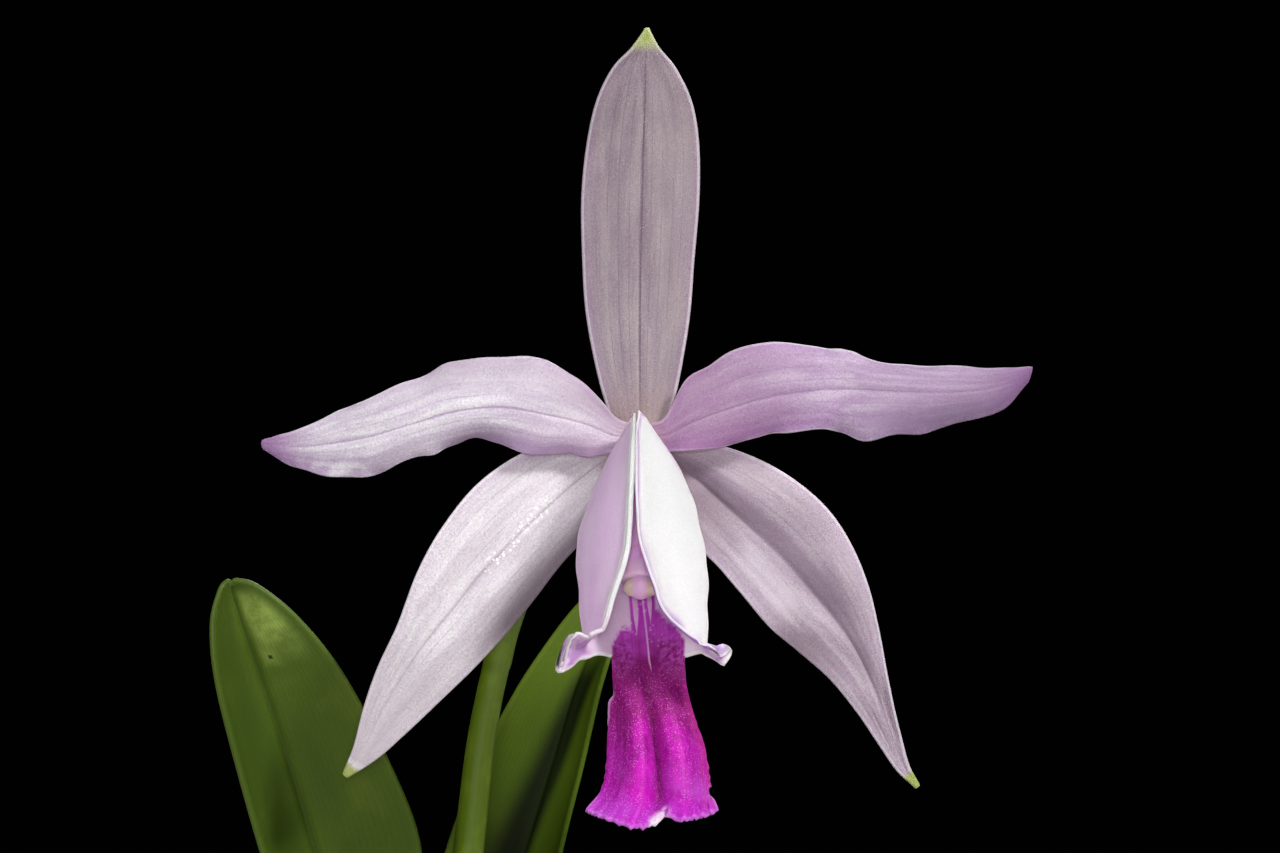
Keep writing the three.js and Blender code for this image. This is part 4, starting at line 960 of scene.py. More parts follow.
LEFT_RUFFLE = Sizes(height=0.7, waves=4, phase=0.4, shift=2.1)
RIGHT_RUFFLE = Sizes(height=0.8, waves=3.5, phase=2, shift=2.1)


def sepals_and_petals():
    for name, rows, flip, finish, channel, swell in (
        ("dorsal_sepal", DORSAL_SEPAL, True, dorsal_finish(), [0.25, 2.5], 0.13),
        ("lateral_sepal_left", LATERAL_SEPAL_LEFT, False, left_sepal_finish(), [1.1, 4.5], 0.12),
        ("lateral_sepal_right", LATERAL_SEPAL_RIGHT, False, right_sepal_finish(), [1.5, 4], 0.26),
    ):
        shape = blade(
            in_flower(rows), SEPAL_THICK, flip=flip, groove=(0.05, 0.3), veins=(5.2, 0.012), channel=channel,
            swell=swell,
        )
        piece("sepal_blade_" + name, shape, finish, [name])
    for name, rows, ruffle, finish in (
        ("petal_left", PETAL_LEFT, LEFT_RUFFLE, left_petal_finish()),
        ("petal_right", PETAL_RIGHT, RIGHT_RUFFLE, right_petal_finish()),
    ):
        shape = blade(
            in_flower(rows), PETAL_THICK, ruffle=ruffle, groove=(0.05, 0.22), veins=(3.6, 0.012),
            channel=[0.3, 2.5], wavy=0.2, swell=0.14,
        )
        piece("petal_blade_" + name, shape, finish, [name])


# Leaves

def leaf_rows(top, direction, lean, bend, length, width):
    """Rows of a leaf that leans out in a direction and bends further along its length."""
    heading = math.radians(direction)
    out = np.array([math.cos(heading), math.sin(heading), 0])
    side = np.array([-math.sin(heading), math.cos(heading), 0])
    place = np.asarray(top, float) + out * LEAF.offset
    rows = []
    for k, share in enumerate(LEAF_WIDTHS):
        u = k / (len(LEAF_WIDTHS) - 1)
        tilt = math.radians(lean * min(1, 0.35 + 2 * u) + bend * u)
        along = out * math.sin(tilt) + [0, 0, math.cos(tilt)]
        inward = -out * math.cos(tilt) + [0, 0, math.sin(tilt)]
        fold = math.radians(lerp(LEAF.fold_base, LEAF.fold_tip, smooth(0, 0.5, u)))
        half = share * width / 2
        wide, deep = side * half * math.cos(fold), inward * half * math.sin(fold)
        rows.append([place - wide + deep, place, place + wide + deep])
        place = place + along * length / (len(LEAF_WIDTHS) - 1)
    return rows


FLOWER_LEAVES = {
    "leaf_5a": [
        [[-38.6, 27.6, -109], [-37.6, 29.6, -110.5], [-36.6, 26.6, -109]],
        [[-44.2, 22.4, -95], [-40.6, 27.6, -95], [-36.4, 22.6, -95]],
        [[-50.2, 17, -78.5], [-44.6, 24.5, -78], [-33.2, 20, -78]],
        [[-55, 14, -63], [-48.4, 22, -62.4], [-31.9, 18, -62]],
        [[-58.8, 11.5, -48.5], [-52.2, 19, -48], [-37, 15.5, -47.6]],
        [[-61.5, 9.6, -36.5], [-56, 16.5, -36], [-43.1, 13.5, -35.6]],
        [[-62.2, 9.4, -28.4], [-58.2, 14, -28.2], [-49.2, 11.8, -27.6]],
        [[-61.2, 10, -23.6], [-59.5, 12.5, -23.6], [-54.8, 11, -22.8]],
        [[-60.2, 11.4, -21.6], [-59.6, 11.8, -22.2], [-58.4, 11.2, -21.4]],
    ],
    "leaf_5b": [
        [[-34.6, 33.6, -109], [-32.8, 34.2, -110.5], [-31.8, 31.4, -109]],
        [[-35.6, 36, -96], [-27.4, 37.6, -96], [-21.2, 32.6, -96]],
        [[-34, 40, -80], [-21.8, 42, -80], [-14.8, 35, -80]],
        [[-30.4, 44.6, -65], [-17.6, 47, -65], [-12.2, 39, -65]],
        [[-25.6, 49, -52], [-13.6, 51.4, -52], [-9, 43.6, -52]],
        [[-20.3, 52, -41.6], [-10.4, 54.6, -41.6], [-6.6, 47.6, -41.6]],
        [[-15.3, 55, -34], [-7.4, 57.4, -34], [-4.4, 52, -34]],
        [[-10.9, 58.4, -28.4], [-5.4, 59.8, -28.4], [-3.4, 56.6, -28.4]],
        [[-7.4, 60.8, -25.2], [-4.6, 61, -25.2], [-3.8, 60.4, -25.4]],
    ],
}


def leaf_blade(rows, flip=False, crease=1.5):
    return blade(
        rows, LEAF.thick, crease=crease, steps=110, across=40, flip=flip, groove=(0.5, 0.7), keel=0.25,
        veins=(9, 0.012),
    )


def leaves():
    patched = leaf_finish("leaf_skin_patched", painted_top_light=0.3, marks=light_patch_and_scar)
    shade_banded = leaf_finish("leaf_skin_banded", rib=0.2, marks=shaded_band)
    for name, finish, crease in (("leaf_5a", patched, 1.5), ("leaf_5b", shade_banded, 2)):
        shape = leaf_blade(in_flower(FLOWER_LEAVES[name]), flip=True, crease=crease)
        piece("leaf_blade_" + name, shape, finish, [name])
    grown, old = leaf_finish("leaf_skin_grown", 0.4), leaf_finish("leaf_skin_old", 1)
    for index, (top, _, shapes) in enumerate(BULBS):
        for k, shape in enumerate(shapes):
            name = "leaf_%d%s" % (index + 1, "ab"[k])
            finish = old if index < 2 else grown
            piece("leaf_blade_" + name, leaf_blade(leaf_rows(top, *shape)), finish, [name])


# Pseudobulbs with their sheaths, and the new shoot

# How far a pseudobulb has gone from its foot to its top along x, y and z, and how far it bows.
BULB_AXIS = [[0, 0, 0, 0], [0.2, 0.14, 0.25, 0.4], [0.5, 0.42, 0.5, 1], [0.8, 0.74, 0.76, 0.6], [1, 1, 1, 0]]


def bulb_path(index):
    foot = [*FEET[index], RHIZOME.z]
    top = BULBS[index][0]
    bow = BULB.bow if index % 2 else -BULB.bow
    return [
        [lerp(foot[0], top[0], x) + bow * bend, lerp(foot[1], top[1], y), lerp(foot[2], top[2], z)]
        for x, y, z, bend in BULB_AXIS
    ]


def bulb_body(thickest):
    """Radius of a pseudobulb under its sheaths."""
    body = values([BULB.foot, BULB.waist, *(s * thickest for s in (0.72, 0.93, 1, 0.9)), BULB.top])

    def radius(u, angle):
        share = u * BULB.joints % 1
        dip = BULB.dip * (peak(share, 1 / 9) + peak(1 - share, 1 / 9))
        return body(u) * (1 - dip)

    return radius


def bulb_and_sheaths(index, finish, sheath, rng):
    """A pseudobulb, more deeply ribbed the older it is, with a sheath on each joint but the top one."""
    radius = bulb_body(BULBS[index][1])
    path = bulb_path(index)
    rib = 0.018 * (4 - index) / 4 + 0.008

    def ribbed(u, angle):
        ribs = np.cos(11 * angle + 2 * np.sin(6 * u)) + 0.5 * np.cos(17 * angle + 5 * u)
        rounded = np.sqrt(np.clip((1 - u) / BULB.rounded, 0, 1)) * 0.5 + 0.5
        return radius(u, angle) * (1 + rib * ribs * smooth(0.02, 0.2, u) * smooth(1, 0.9, u)) * rounded

    top = 1 - BULB.rounded * np.linspace(0, 1, 6) ** 2
    body = loft(path, ribbed, 52, np.unique(np.concatenate([np.linspace(0, 1, 121), top])))
    piece("bulb_body_%d" % (index + 1), body, finish, ["pseudobulb_%d" % (index + 1)])
    sheets = [sheath_sheet(path, radius, joint, rng, worn=index < 3) for joint in range(BULB.joints - 1)]
    piece("bulb_sheaths_%d" % (index + 1), joined(sheets), sheath)


def sheath_sheet(path, radius, joint, rng, worn, rows=22, columns=72):
    """A dry sheath that wraps a joint with its margins overlapping, and ends in a ragged edge."""
    share, turned = np.meshgrid(np.linspace(0, 1, rows + 1), np.linspace(0, 1, columns + 1), indexing="ij")
    start = rng.uniform(0, TURN)
    angle = start + turned * (TURN + 0.5)
    ragged = sum(rng.uniform(0.3, 1) / k * np.sin(k * angle + rng.uniform(0, TURN)) for k in range(3, 14))
    reach = 0.76 + 0.1 * np.cos(angle + 2.4 * joint) + (0.035 if worn else 0.012) * ragged
    u = (joint + 0.02 + share * reach) / BULB.joints
    wrinkle = 0.05 * np.sin(19 * angle + 3 * share) + 0.04 * np.sin(31 * angle)
    lift = BULB.sheath - 0.2 + 0.16 * turned + wrinkle + 0.25 * smooth(0.8, 1, share) * (1 + wrinkle * 4)
    r = radius(u, angle) + lift
    middle, normal, side = frames(path, u.ravel())
    points = middle + normal * (r * np.cos(angle)).reshape(-1, 1) + side * (r * np.sin(angle)).reshape(-1, 1)
    thickness = np.full(len(points), 0.1)
    place = np.stack([share, turned], -1).reshape(-1, 2)
    return thicken(points, grid(rows, columns), thickness, thickness, place)


def shoot(finish):
    x, y = FEET[-1]
    rises = [(0, 0, 0), (0.5, -1, 0.33), (1, -1, 0.67), (1, 1, 1)]
    path = [[x - lean * SHOOT.lean, y + back, RHIZOME.z + rise * SHOOT.height] for lean, back, rise in rises]

    def outline(u, angle):
        step = (u * SHOOT.sheaths + 0.08 * np.cos(angle)) % 1
        return SHOOT.radius * (1 - 0.86 * u**2.2) * (1 + 0.1 * step) * (1 + 0.012 * np.cos(14 * angle))

    body = loft(path, outline, 48, np.linspace(0, 1, 90), widen=1.15)
    piece("shoot_sheaths", body, finish, ["new_shoot"])


def pseudobulbs():
    rng = np.random.default_rng(5)
    papery = sheath_finish("dry_sheath", (206, 194, 160), (168, 150, 112), (126, 102, 70))
    fresh = sheath_finish("fresh_sheath", (188, 190, 134), (206, 202, 164), (150, 136, 88))
    for index in range(len(BULBS)):
        bulb_and_sheaths(index, bulb_finish(1 - index / 4), fresh if index > 3 else papery, rng)
    shoot(stem_finish("shoot_skin", (132, 160, 66), (104, 130, 48), (168, 184, 92)))


# Stalk and spathe

STALK_PATH = in_flower([
    [-34.6, 30, -111.5], [-30.8, 29, -94], [-28, 27.5, -78], [-25.7, 26, -63], [-23.8, 24.5, -47],
    [-21.6, 23, -36], [-19, 21.5, -26.5], [-14.4, 19.4, -15], [-8.6, 15.6, -6], [-3.6, 9.4, -1.4],
    [-0.4, 2.4, -0.2],
])
SPATHE = Sizes(end=0.25, widen=1.35, turn=30)


def stalk():
    """The flower's stalk, with a small bract where it turns forward and three ribs above it."""
    share = values([2.7, 2.5, 2.4, 2.3, 2.1, 2, 2.1, 2.2, 2.4, 2.7, 2.5])

    def radius(u, angle):
        ribs = 0.05 * smooth(0.55, 0.8, u) * np.cos(3 * angle) + 0.012 * np.cos(13 * angle)
        bract = 0.12 * smooth(0.508, 0.515, u) * smooth(0.56, 0.52, u)
        return (share(u) * (1 + ribs) + bract) * np.where(u > 0.995, 0.7, 1)

    green = stem_finish("stalk_skin", (82, 103, 6), (77, 100, 15), (114, 134, 32))
    places = np.unique(np.append(np.linspace(0, 1, 200), [0.985, 0.996]))
    piece("stalk_stem", loft(STALK_PATH, radius, 40, places), green, ["flower_stalk"])


def spathe():
    """The flat sheath at the foot of the stalk."""
    share = values([3.6, 4.5, 4.8, 4.5, 3.45, 1.65])

    def radius(u, angle):
        return share(u) * (1 + 0.015 * np.cos(15 * angle))

    path = spline(STALK_PATH)(np.linspace(0, 1, 4) * SPATHE.end)
    body = loft(path, radius, 56, np.linspace(0, 1, 70), SPATHE.widen, math.radians(SPATHE.turn))
    dry = sheath_finish("spathe_skin", (172, 176, 104), (146, 156, 78), (150, 120, 72))
    piece("spathe_sheath", body, dry, ["spathe"])


# Lip and column

# The lip's tube: its ends, how far each side reaches (-1 is left, 1 is right), and its half widths, its
# depths in front and behind, and the angle of its margins as a share of a half turn, from foot to mouth.
TUBE_FROM, TUBE_TO = np.array([-0.2, -2.4, 0.2]), np.array([0.2, -20, -29.5])
TUBE_END = {-1: 1.08, 1: 1.05}
FORWARD = np.array([0, -0.823, 0.568])
TUBE_WIDTH = {
    -1: values([1.6, 4.1, 6.2, 7.8, 8.6, 8.5, 8.1, 7.6]),
    1: values([1.6, 4.7, 6.7, 8, 8.8, 9, 9, 8.8]),
}
TUBE_FRONT = values([4.3, 6.6, 8, 8.4, 8, 7.4])
TUBE_BACK = values([2.8, 4.2, 5.8, 6.4, 6.3, 6])
TUBE_KEEL = 1.22
MARGIN = {
    -1: values([0.9, 0.955, 0.961, 0.962, 0.961, 0.958, 0.953, 0.941, 0.903, 0.845, 0.775, 0.62]),
    1: values([0.97, 1.004, 1.006, 1.006, 1.005, 1.002, 0.997, 0.99, 0.964, 0.926, 0.872, 0.66]),
}
ISTHMUS = Sizes(angle=0.62, s=0.965)
FLOOR_LEAN = 0.65
# The curled corner of each side lobe: reach to the side and forward, sag, lift, lumps, spread and drop.
EAR = {-1: [-5.2, -1.7, 0.8, 0.2, 1.3, 1.8, 0.7], 1: [4, -1.5, -0.6, 0.7, 0.15, 0.2, 0]}
EAR_START, EAR_CRIMP, EAR_CRIMPS = 0.985, 0.7, 17
# The middle lobe: its line, and from its start to its end its half width, fold and groove.
APRON = spline([
    [1.2, -14.6, -32.2], [1.35, -17.2, -36], [2.1, -19.6, -40.6],
    [2.7, -21.6, -45.2], [2.45, -23.4, -49.8], [1.6, -26, -53],
])
APRON_WIDTH = values([4.9, 4.8, 5.4, 6.15, 7.05, 8.75])
APRON_FOLD = values([-1, 2, 4, 4.6, 4, 2.4])
APRON_GROOVE = values([0, 1, 2, 2.5, 2.3, 1.5])
APRON_TURN = 1.25
TUBE_ROWS = values([0, 0.13, 0.26, 0.38, 0.49, 0.59, 0.68, 0.76, 0.83, 0.89, 0.93, 0.965, 1])

# How far the margin of each side lobe is turned out, from the foot of the tube to its mouth.
TURN_OUT = {
    -1: Sizes(reach=values([0.3, 0.6, 0.68, 0.7, 0.68, 0.68, 0.72, 0.6, 0.25]), radius=0.16, most=2.4),
    1: Sizes(reach=values([0.2, 0.3, 0.3, 0.4, 0.6, 0.9, 1.2, 1.2, 0.5]), radius=0.75, most=1.5),
}
LIP = Sizes(tube_rows=96, apron_rows=90, inner=28, lobe=32, turned=9, half_thick=0.26, half_margin=0.15)
ANTHER = Sizes(radii=[2.3, 1.8, 1.3], sides=32, rings=18, tilt=-0.9, at=[0.1, -15, -21.7])


def edge_angle(s, side):
    return math.pi * MARGIN[side](s / TUBE_END[side])


def tube_point(s, angle, side):
    """A point of the rolled tube: s runs from its foot to its mouth, the angle from its keel to its front."""
    keel = (1 - np.abs(np.sin(angle)) ** TUBE_KEEL) ** (1 / TUBE_KEEL)
    depth = np.where(angle > math.pi / 2, TUBE_FRONT(s) * keel, -np.cos(angle) * TUBE_BACK(s))
    wave = 1 + 0.018 * np.sin(26 * s + 2 * side) * np.sin(9 * s + 1)
    lean = FLOOR_LEAN * smooth(0.3, 1, s) * smooth(1.5, 0.6, angle)
    across = side * TUBE_WIDTH[side](s) * np.sin(angle) * wave + lean
    middle = lerp(TUBE_FROM, TUBE_TO, s[..., None])
    return middle + FORWARD * depth[..., None] + np.array([1, 0, 0]) * across[..., None]


def lobe_point(s, share, side):
    """A point of a side lobe, whose front corner turns out into a small curled ear with a crimped edge."""
    point = tube_point(s, share * edge_angle(s, side), side)
    low, front = smooth(EAR_START, TUBE_END[side], s), smooth(0.45, 1, share)
    ear = low * front
    x, y, sag, lift, lump, spread, drop = EAR[side]
    ear = ear * (1 - 0.32 * smooth(0.82, 1, share) * smooth(0.5, 1, ear))
    crimp = EAR_CRIMP * ear * np.sin(EAR_CRIMPS * share * share + 1)
    lumps = lump * ear * smooth(0.6, 1, share) * np.sin(12 * ear - 4.4)
    z = sag * np.sin(math.pi * ear) + lift * smooth(0.56, 0.7, ear) + lumps
    z = z - spread * ear * np.sign(low - front) * np.abs(low - front) ** 0.65
    z = z - drop * smooth(0, 0.25, low - front) * smooth(0.2, 0.45, ear) * smooth(1.05, 0.5, ear)
    forward = y * np.sin(2.4 * ear) + crimp - 0.6 * lumps
    return point + np.stack([x * ear + 0.3 * crimp, forward, z + crimp], -1)


def apron_point(t, v):
    """A point of the middle lobe: two humps beside a groove, sides folded back and a frilled end."""
    turned = APRON_TURN * v
    fold = APRON_FOLD(t) * (1 - np.cos(turned)) / (1 - math.cos(APRON_TURN))
    middle = v - 0.1 * t + 0.1 * np.sin(math.pi * t)
    groove = APRON_GROOVE(t) * (peak(middle, 0.15) - 0.35 * peak(np.abs(v) - 0.42, 0.25))
    ruffle = 0.12 * t**3 * np.sin(TURN * 3.2 * v + 0.6)
    frill = 0.3 * np.sin(TURN * 6.3 * v + 2) + 0.13 * np.sin(TURN * 11.7 * v + 1.5 * np.sin(5 * v))
    frill = smooth(0.8, 1, t) * frill
    tongue = t**2 * (0.3 - 0.9 * peak(v + 0.16, 0.3) + 0.9 * peak(v - 0.17, 0.09)) + 1.2 * t * v * v
    teeth = smooth(0.94, 1, t) * (0.1 * np.sin(TURN * 21 * v) + 0.12 * np.sin(TURN * 13.3 * v + 1))
    flap = -0.9 * smooth(0.27, 0.31, t) * smooth(0.95, 0.55, t) * smooth(0.86, 1, -v)
    notch = -0.8 * smooth(0.8, 0.82, t) * smooth(0.93, 0.84, t) * smooth(0.9, 1, v)
    serrated = np.sin(61 * t + 3 * np.sin(17 * t)) * np.sign(v)
    serrated = 0.07 * smooth(0.3, 0.5, t) * smooth(0.9, 1, np.abs(v)) * serrated
    across = APRON_WIDTH(t) * np.sin(turned) / math.sin(APRON_TURN) + flap + notch + serrated
    return APRON(t) + np.stack([across, fold + groove - ruffle + frill, tongue + teeth], -1)


def turned_margin(s, share, side):
    """The margin of a side lobe, rolled outwards from its edge."""
    edge, step = np.ones_like(s), 0.01
    margin = lobe_point(s, edge, side)
    inward = unit(margin - lobe_point(s, 0.985 * edge, side))
    along = unit(lobe_point(np.minimum(s + step, 1.2), edge, side) - lobe_point(s - step, edge, side))
    outward = unit(np.cross(along, inward))
    outward *= np.sign((outward * FORWARD).sum(-1))[..., None]
    rule = TURN_OUT[side]
    length = share * rule.reach(s / TUBE_END[side])
    angle = np.minimum(length / rule.radius, rule.most)
    straight = length - angle * rule.radius
    forward = rule.radius * np.sin(angle) + straight * np.cos(angle)
    up = rule.radius * (1 - np.cos(angle)) + straight * np.sin(angle)
    return margin + inward * forward[..., None] + outward * up[..., None]


def lip_sheet():
    """The lip's middle surface. Columns run from the left margin over the keel to the right margin."""
    half = LIP.inner + LIP.lobe + LIP.turned
    rows = LIP.tube_rows + LIP.apron_rows
    points = np.zeros((rows + 1, 2 * half + 1, 3))
    place = np.zeros((rows + 1, 2 * half + 1, 2))
    thickness = np.zeros((rows + 1, 2 * half + 1))
    i = np.arange(rows + 1)
    down = TUBE_ROWS(np.minimum(i / LIP.tube_rows, 1))
    t = np.maximum(i - LIP.tube_rows, 0) / LIP.apron_rows
    for j in range(2 * half + 1):
        side = -1 if j < half else 1
        k = abs(j - half)
        inner = min(1, k / LIP.inner)
        lobe = min(1, max(0, k - LIP.inner) / LIP.lobe)
        lobe = 1 - (1 - lobe) ** 1.3
        turned = max(0, k - LIP.inner - LIP.lobe) / LIP.turned
        end = lerp(ISTHMUS.s, TUBE_END[side], smooth(0.05, 0.75, lobe))
        s = down * end
        angle = lerp(inner * ISTHMUS.angle, edge_angle(s, side), lobe)
        if turned:
            points[:, j] = turned_margin(s, 0 * s + turned, side)
        else:
            points[:, j] = lobe_point(s, angle / edge_angle(s, side), side)
        root = tube_point(ISTHMUS.s + 0.35 * t, inner * ISTHMUS.angle + 0 * t, side)
        hang = lerp(root, apron_point(t, side * inner + 0 * t), smooth(0, 0.4, t)[:, None])
        points[:, j] = np.where((t > 0)[:, None], hang, points[:, j])
        place[:, j, 0] = np.where(t > 0, 1 + t, s / ISTHMUS.s)
        place[:, j, 1] = side * (angle + turned)
        place[t > 0, j, 1] = side * inner * ISTHMUS.angle
        thickness[:, j] = lerp(LIP.half_thick, LIP.half_margin, smooth(0.75, 1, lobe))

    def keep(i, j):
        return (i < LIP.tube_rows) | (np.abs(j + 0.5 - half) < LIP.inner)

    return points.reshape(-1, 3), grid(rows, 2 * half, keep), thickness.ravel(), place.reshape(-1, 2)


def lip(finish):
    points, quads, thickness, place = lip_sheet()
    shape = thicken(in_flower(points), quads, thickness, thickness, place)
    piece("lip_sheet", shape, finish, ["lip"])


def column():
    """The column, winged towards its end and hollow below it."""
    share = values([1.1, 1.5, 1.8, 2.1, 2.3, 2.3])
    path = in_flower([
        [-0.2, -0.4, -0.4], [-0.2, -4.6, -4.4], [-0.2, -8.6, -10.8], [-0.1, -11.8, -16.4], [0, -14.2, -20.8],
    ])

    def radius(u, angle):
        wings = 0.22 * smooth(0.5, 0.95, u) * np.cos(angle) ** 2
        hollow = 0.3 * smooth(0.7, 1, u) * peak((angle % TURN) - 1.5 * math.pi, 0.5)
        return share(u) * (1 + wings - hollow) * (1 - 0.06 * smooth(0.97, 1, u))

    body = loft(path, radius, 40, np.linspace(0, 1, 60), widen=1.12)
    piece("column_body", body, column_finish(), ["column"])


def anther():
    """A small two-lobed cap with a raised tongue down its middle."""
    wide, deep, high = ANTHER.radii
    across, down = np.meshgrid(
        np.linspace(0, TURN, ANTHER.sides + 1)[:-1], np.linspace(0, math.pi, ANTHER.rings + 2)[1:-1],
    )
    level = np.sin(down) * (1 + 0.08 * np.cos(2 * across))
    dome = np.stack([wide * level * np.cos(across), deep * level * np.sin(across), high * np.cos(down)], -1)
    tongue = peak(dome[..., :1], 0.75) - 0.8 * peak(np.abs(dome[..., :1]) - 1.05, 0.22)
    dome = (dome * (1 + [0, 0.14, 0.12] * tongue)).reshape(-1, 3)
    points = np.vstack([dome, [[0, 0, high], [0, 0, -high]]])
    points = points @ turning(0, ANTHER.tilt).T + in_flower(ANTHER.at)
    middle = (points[:, 0] - FLOWER[0]) / wide
    faces = ring_faces(ANTHER.rings, ANTHER.sides, inward=True)
    shape = shape_of(points, faces, np.column_stack([0 * middle, middle, 0 * middle]))
    piece("anther_dome", shape, anther_finish(), ["anther_cap"])


# Rhizome and roots

ROOTS = [
    (4, -78, 44, 26, False), (4, 168, 34, -30, False), (3, -42, 60, 16, True), (3, 120, 45, 24, False),
    (2, -70, 46, -22, False), (1, 96, 28, 20, False), (5, -140, 52, 10, True),
]
ROOT = Sizes(
    radius=1.7, stride=6, lie=98.6, sway=0.8, dive=7, hang=46, clear=2.6, wall_margin=13, rim_margin=7,
)


def pot_inside(z):
    """The pot's inner radius at a height."""
    return lerp(POT.foot_radius - POT.wall, POT.top_radius - POT.wall, z / POT.height)


def root_path(foot, direction, reach, turn, over):
    """The way of a root: over the bark, and then into it or over the pot's rim and down outside."""
    x, y = FEET[foot]
    start = math.hypot(x, y)
    path = [[x, y, RHIZOME.z]]
    steps = reach / ROOT.stride
    limit = pot_inside(POT.height) - (ROOT.rim_margin if over else ROOT.wall_margin)

    def heading(t):
        return math.radians(direction + turn * t)

    while math.hypot(x, y) < limit and len(path) < steps + 1:
        here = heading(len(path) / steps)
        x += ROOT.stride * math.cos(here)
        y += ROOT.stride * math.sin(here)
        path.append([x, y, ROOT.lie + ROOT.sway * math.sin(len(path) * 1.9 + start)])
    if not over:
        dx, dy, z = around(ROOT.stride, heading(1), ROOT.lie - ROOT.dive)
        return [*path, [x + dx, y + dy, z]]
    angle = math.atan2(y, x)
    clear = ROOT.radius + ROOT.clear
    inner, rim, outer = pot_inside(POT.height), POT.top_radius, POT.top_radius + clear
    for r, above, sway in (
        (inner - 1, clear - 0.5, 0), (rim - 0.5, clear + 1, 0), (outer + 1, -3, 0), (outer + 0.8, -14, 0.04),
        (outer - 0.5, -28, 0.1), (outer - 2.5, -ROOT.hang, 0.12),
    ):
        path.append(around(r, angle + sway, POT.height + above))
    return path


def rhizome():
    line = [[x, y, RHIZOME.z] for x, y in FEET]
    before = np.add(line[0], RHIZOME.before)
    after = np.add(line[-1], RHIZOME.after)

    def radius(u, angle):
        joints = 0.86 + 0.14 * np.cos(u * TURN * (len(FEET) + 1))
        scales = 0.05 * (u * 4 * len(FEET) % 1) + 0.02 * np.cos(9 * angle)
        ends = 0.55 + 0.45 * smooth(0, 0.03, u) * smooth(1, 0.97, u)
        return RHIZOME.radius * (joints + scales) * ends

    creeping = loft([before, *line, after], radius, 36, np.linspace(0, 1, 200))
    piece("rhizome_stem", creeping, rhizome_finish(), ["rhizome_and_roots"])


def roots():
    def radius(u, angle):
        swell = 1 + 0.07 * np.sin(37 * u + 2 * angle) + 0.05 * np.sin(91 * u)
        return ROOT.radius * swell * np.sqrt(np.clip((1.01 - u) / 0.05, 0.1, 1))

    strands = []
    for foot, direction, reach, turn, over in ROOTS:
        path = root_path(foot, direction, reach, turn, over)
        places = np.linspace(0, 1, 110 if over else 70)
        strands.append(loft(path, radius, 16, places, turn=math.radians(direction + 90)))
    piece("root_strands", joined(strands), root_finish())


# Bark mix

def repeatable(seed):
    """The random numbers from 0 to 1 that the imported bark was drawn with."""
    state = float(seed)
    while True:
        state = (state * 1103515245.0 + 12345.0) % 2147483648.0
        yield state / 2147483648.0


CORNERS = [(1, 1, 1), (1, 1, -1), (1, -1, 1), (1, -1, -1), (-1, 1, -1), (-1, 1, 1), (-1, -1, -1), (-1, -1, 1)]


def rounded_block(cuts):
    """Points and faces of a block from -1 to 1 whose edges are rounded."""
    shell = bmesh.new()
    bmesh.ops.create_cube(shell, size=2)
    bmesh.ops.subdivide_edges(shell, edges=shell.edges[:], cuts=cuts, use_grid_fill=True)
    points = np.array([v.co[:] for v in shell.verts])
    faces = np.array([[v.index for v in f.verts] for f in shell.faces])
    shell.free()
    return points / (np.linalg.norm(points, ord=7, axis=1)[:, None]), faces


def turning(axis, angle):
    c, s = math.cos(angle), math.sin(angle)
    i, j = [(1, 2), (2, 0), (0, 1)][axis]
    turn = np.eye(3)
    turn[i, i], turn[i, j], turn[j, i], turn[j, j] = c, -s, s, c
    return turn


def chip(block, size, corners, turns, place, rng):
    """A bark chip: a rounded block drawn to its own corners, with corky layers, turned and laid down."""
    points, faces = block
    shares = (1 + np.array(CORNERS)[None] * points[:, None]) / 2
    moved = (shares.prod(-1)[..., None] * (np.array(corners) * size / 2)[None]).sum(1)
    layer = np.sin(moved[:, 2] * rng.uniform(*CORK.layers) + rng.uniform(0, TURN))
    waves = rng.uniform(-CORK.waves, CORK.waves, (3, 5))
    rough = np.sin(moved @ waves + rng.uniform(0, TURN, 5)).sum(1)
    side = np.linalg.norm(points[:, :2], axis=1, keepdims=True)
    moved *= 1 + CORK.layer_depth * side * layer[:, None] + CORK.wave_depth * rough[:, None]
    turn = turning(2, turns[2]) @ turning(1, turns[1]) @ turning(0, turns[0])
    tone = np.column_stack([np.full((len(points), 2), rng.uniform(0, 1, 2)), points[:, 2]])
    return shape_of(moved @ turn.T + place, [faces], tone)


def large_chips(rng):
    """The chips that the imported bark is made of, each at its own place."""
    draw = repeatable(BARK.seed)
    block = rounded_block(BARK.cuts)
    chips = []
    for ring in BARK.rings:
        count = round(TURN * ring / BARK.spacing)
        for k in range(count):
            angle = TURN * (k + BARK.stagger * next(draw)) / count + ring
            r = ring + lerp(*BARK.outward, next(draw))
            height = BARK.top + lerp(*BARK.above, next(draw))
            size = np.array([edge * lerp(*BARK.sizes, next(draw)) for edge in BARK.chip])
            corners = [np.array(c) * [lerp(*BARK.corners, next(draw)) for _ in range(3)] for c in CORNERS]
            turns = [lerp(-BARK.slant, BARK.slant, next(draw)) for _ in range(2)] + [next(draw) * math.pi]
            chips.append(chip(block, size, corners, turns, around(r, angle, height), rng))
    return chips


def small_chips(rng):
    """Smaller chips that fill the gaps between the large ones."""
    block = rounded_block(SMALL_CHIPS.cuts)
    chips = []
    for _ in range(SMALL_CHIPS.count):
        r, angle = SMALL_CHIPS.reach * math.sqrt(rng.uniform(0, 1)), rng.uniform(0, TURN)
        size = np.array(SMALL_CHIPS.chip) * rng.uniform(*SMALL_CHIPS.sizes)
        corners = [np.array(c) * rng.uniform(*BARK.corners, 3) for c in CORNERS]
        turns = rng.uniform(-SMALL_CHIPS.slant, SMALL_CHIPS.slant, 3) * [1, 1, 4]
        place = around(r, angle, BARK.top + rng.uniform(*SMALL_CHIPS.above))
        chips.append(chip(block, size, corners, turns, place, rng))
    return chips


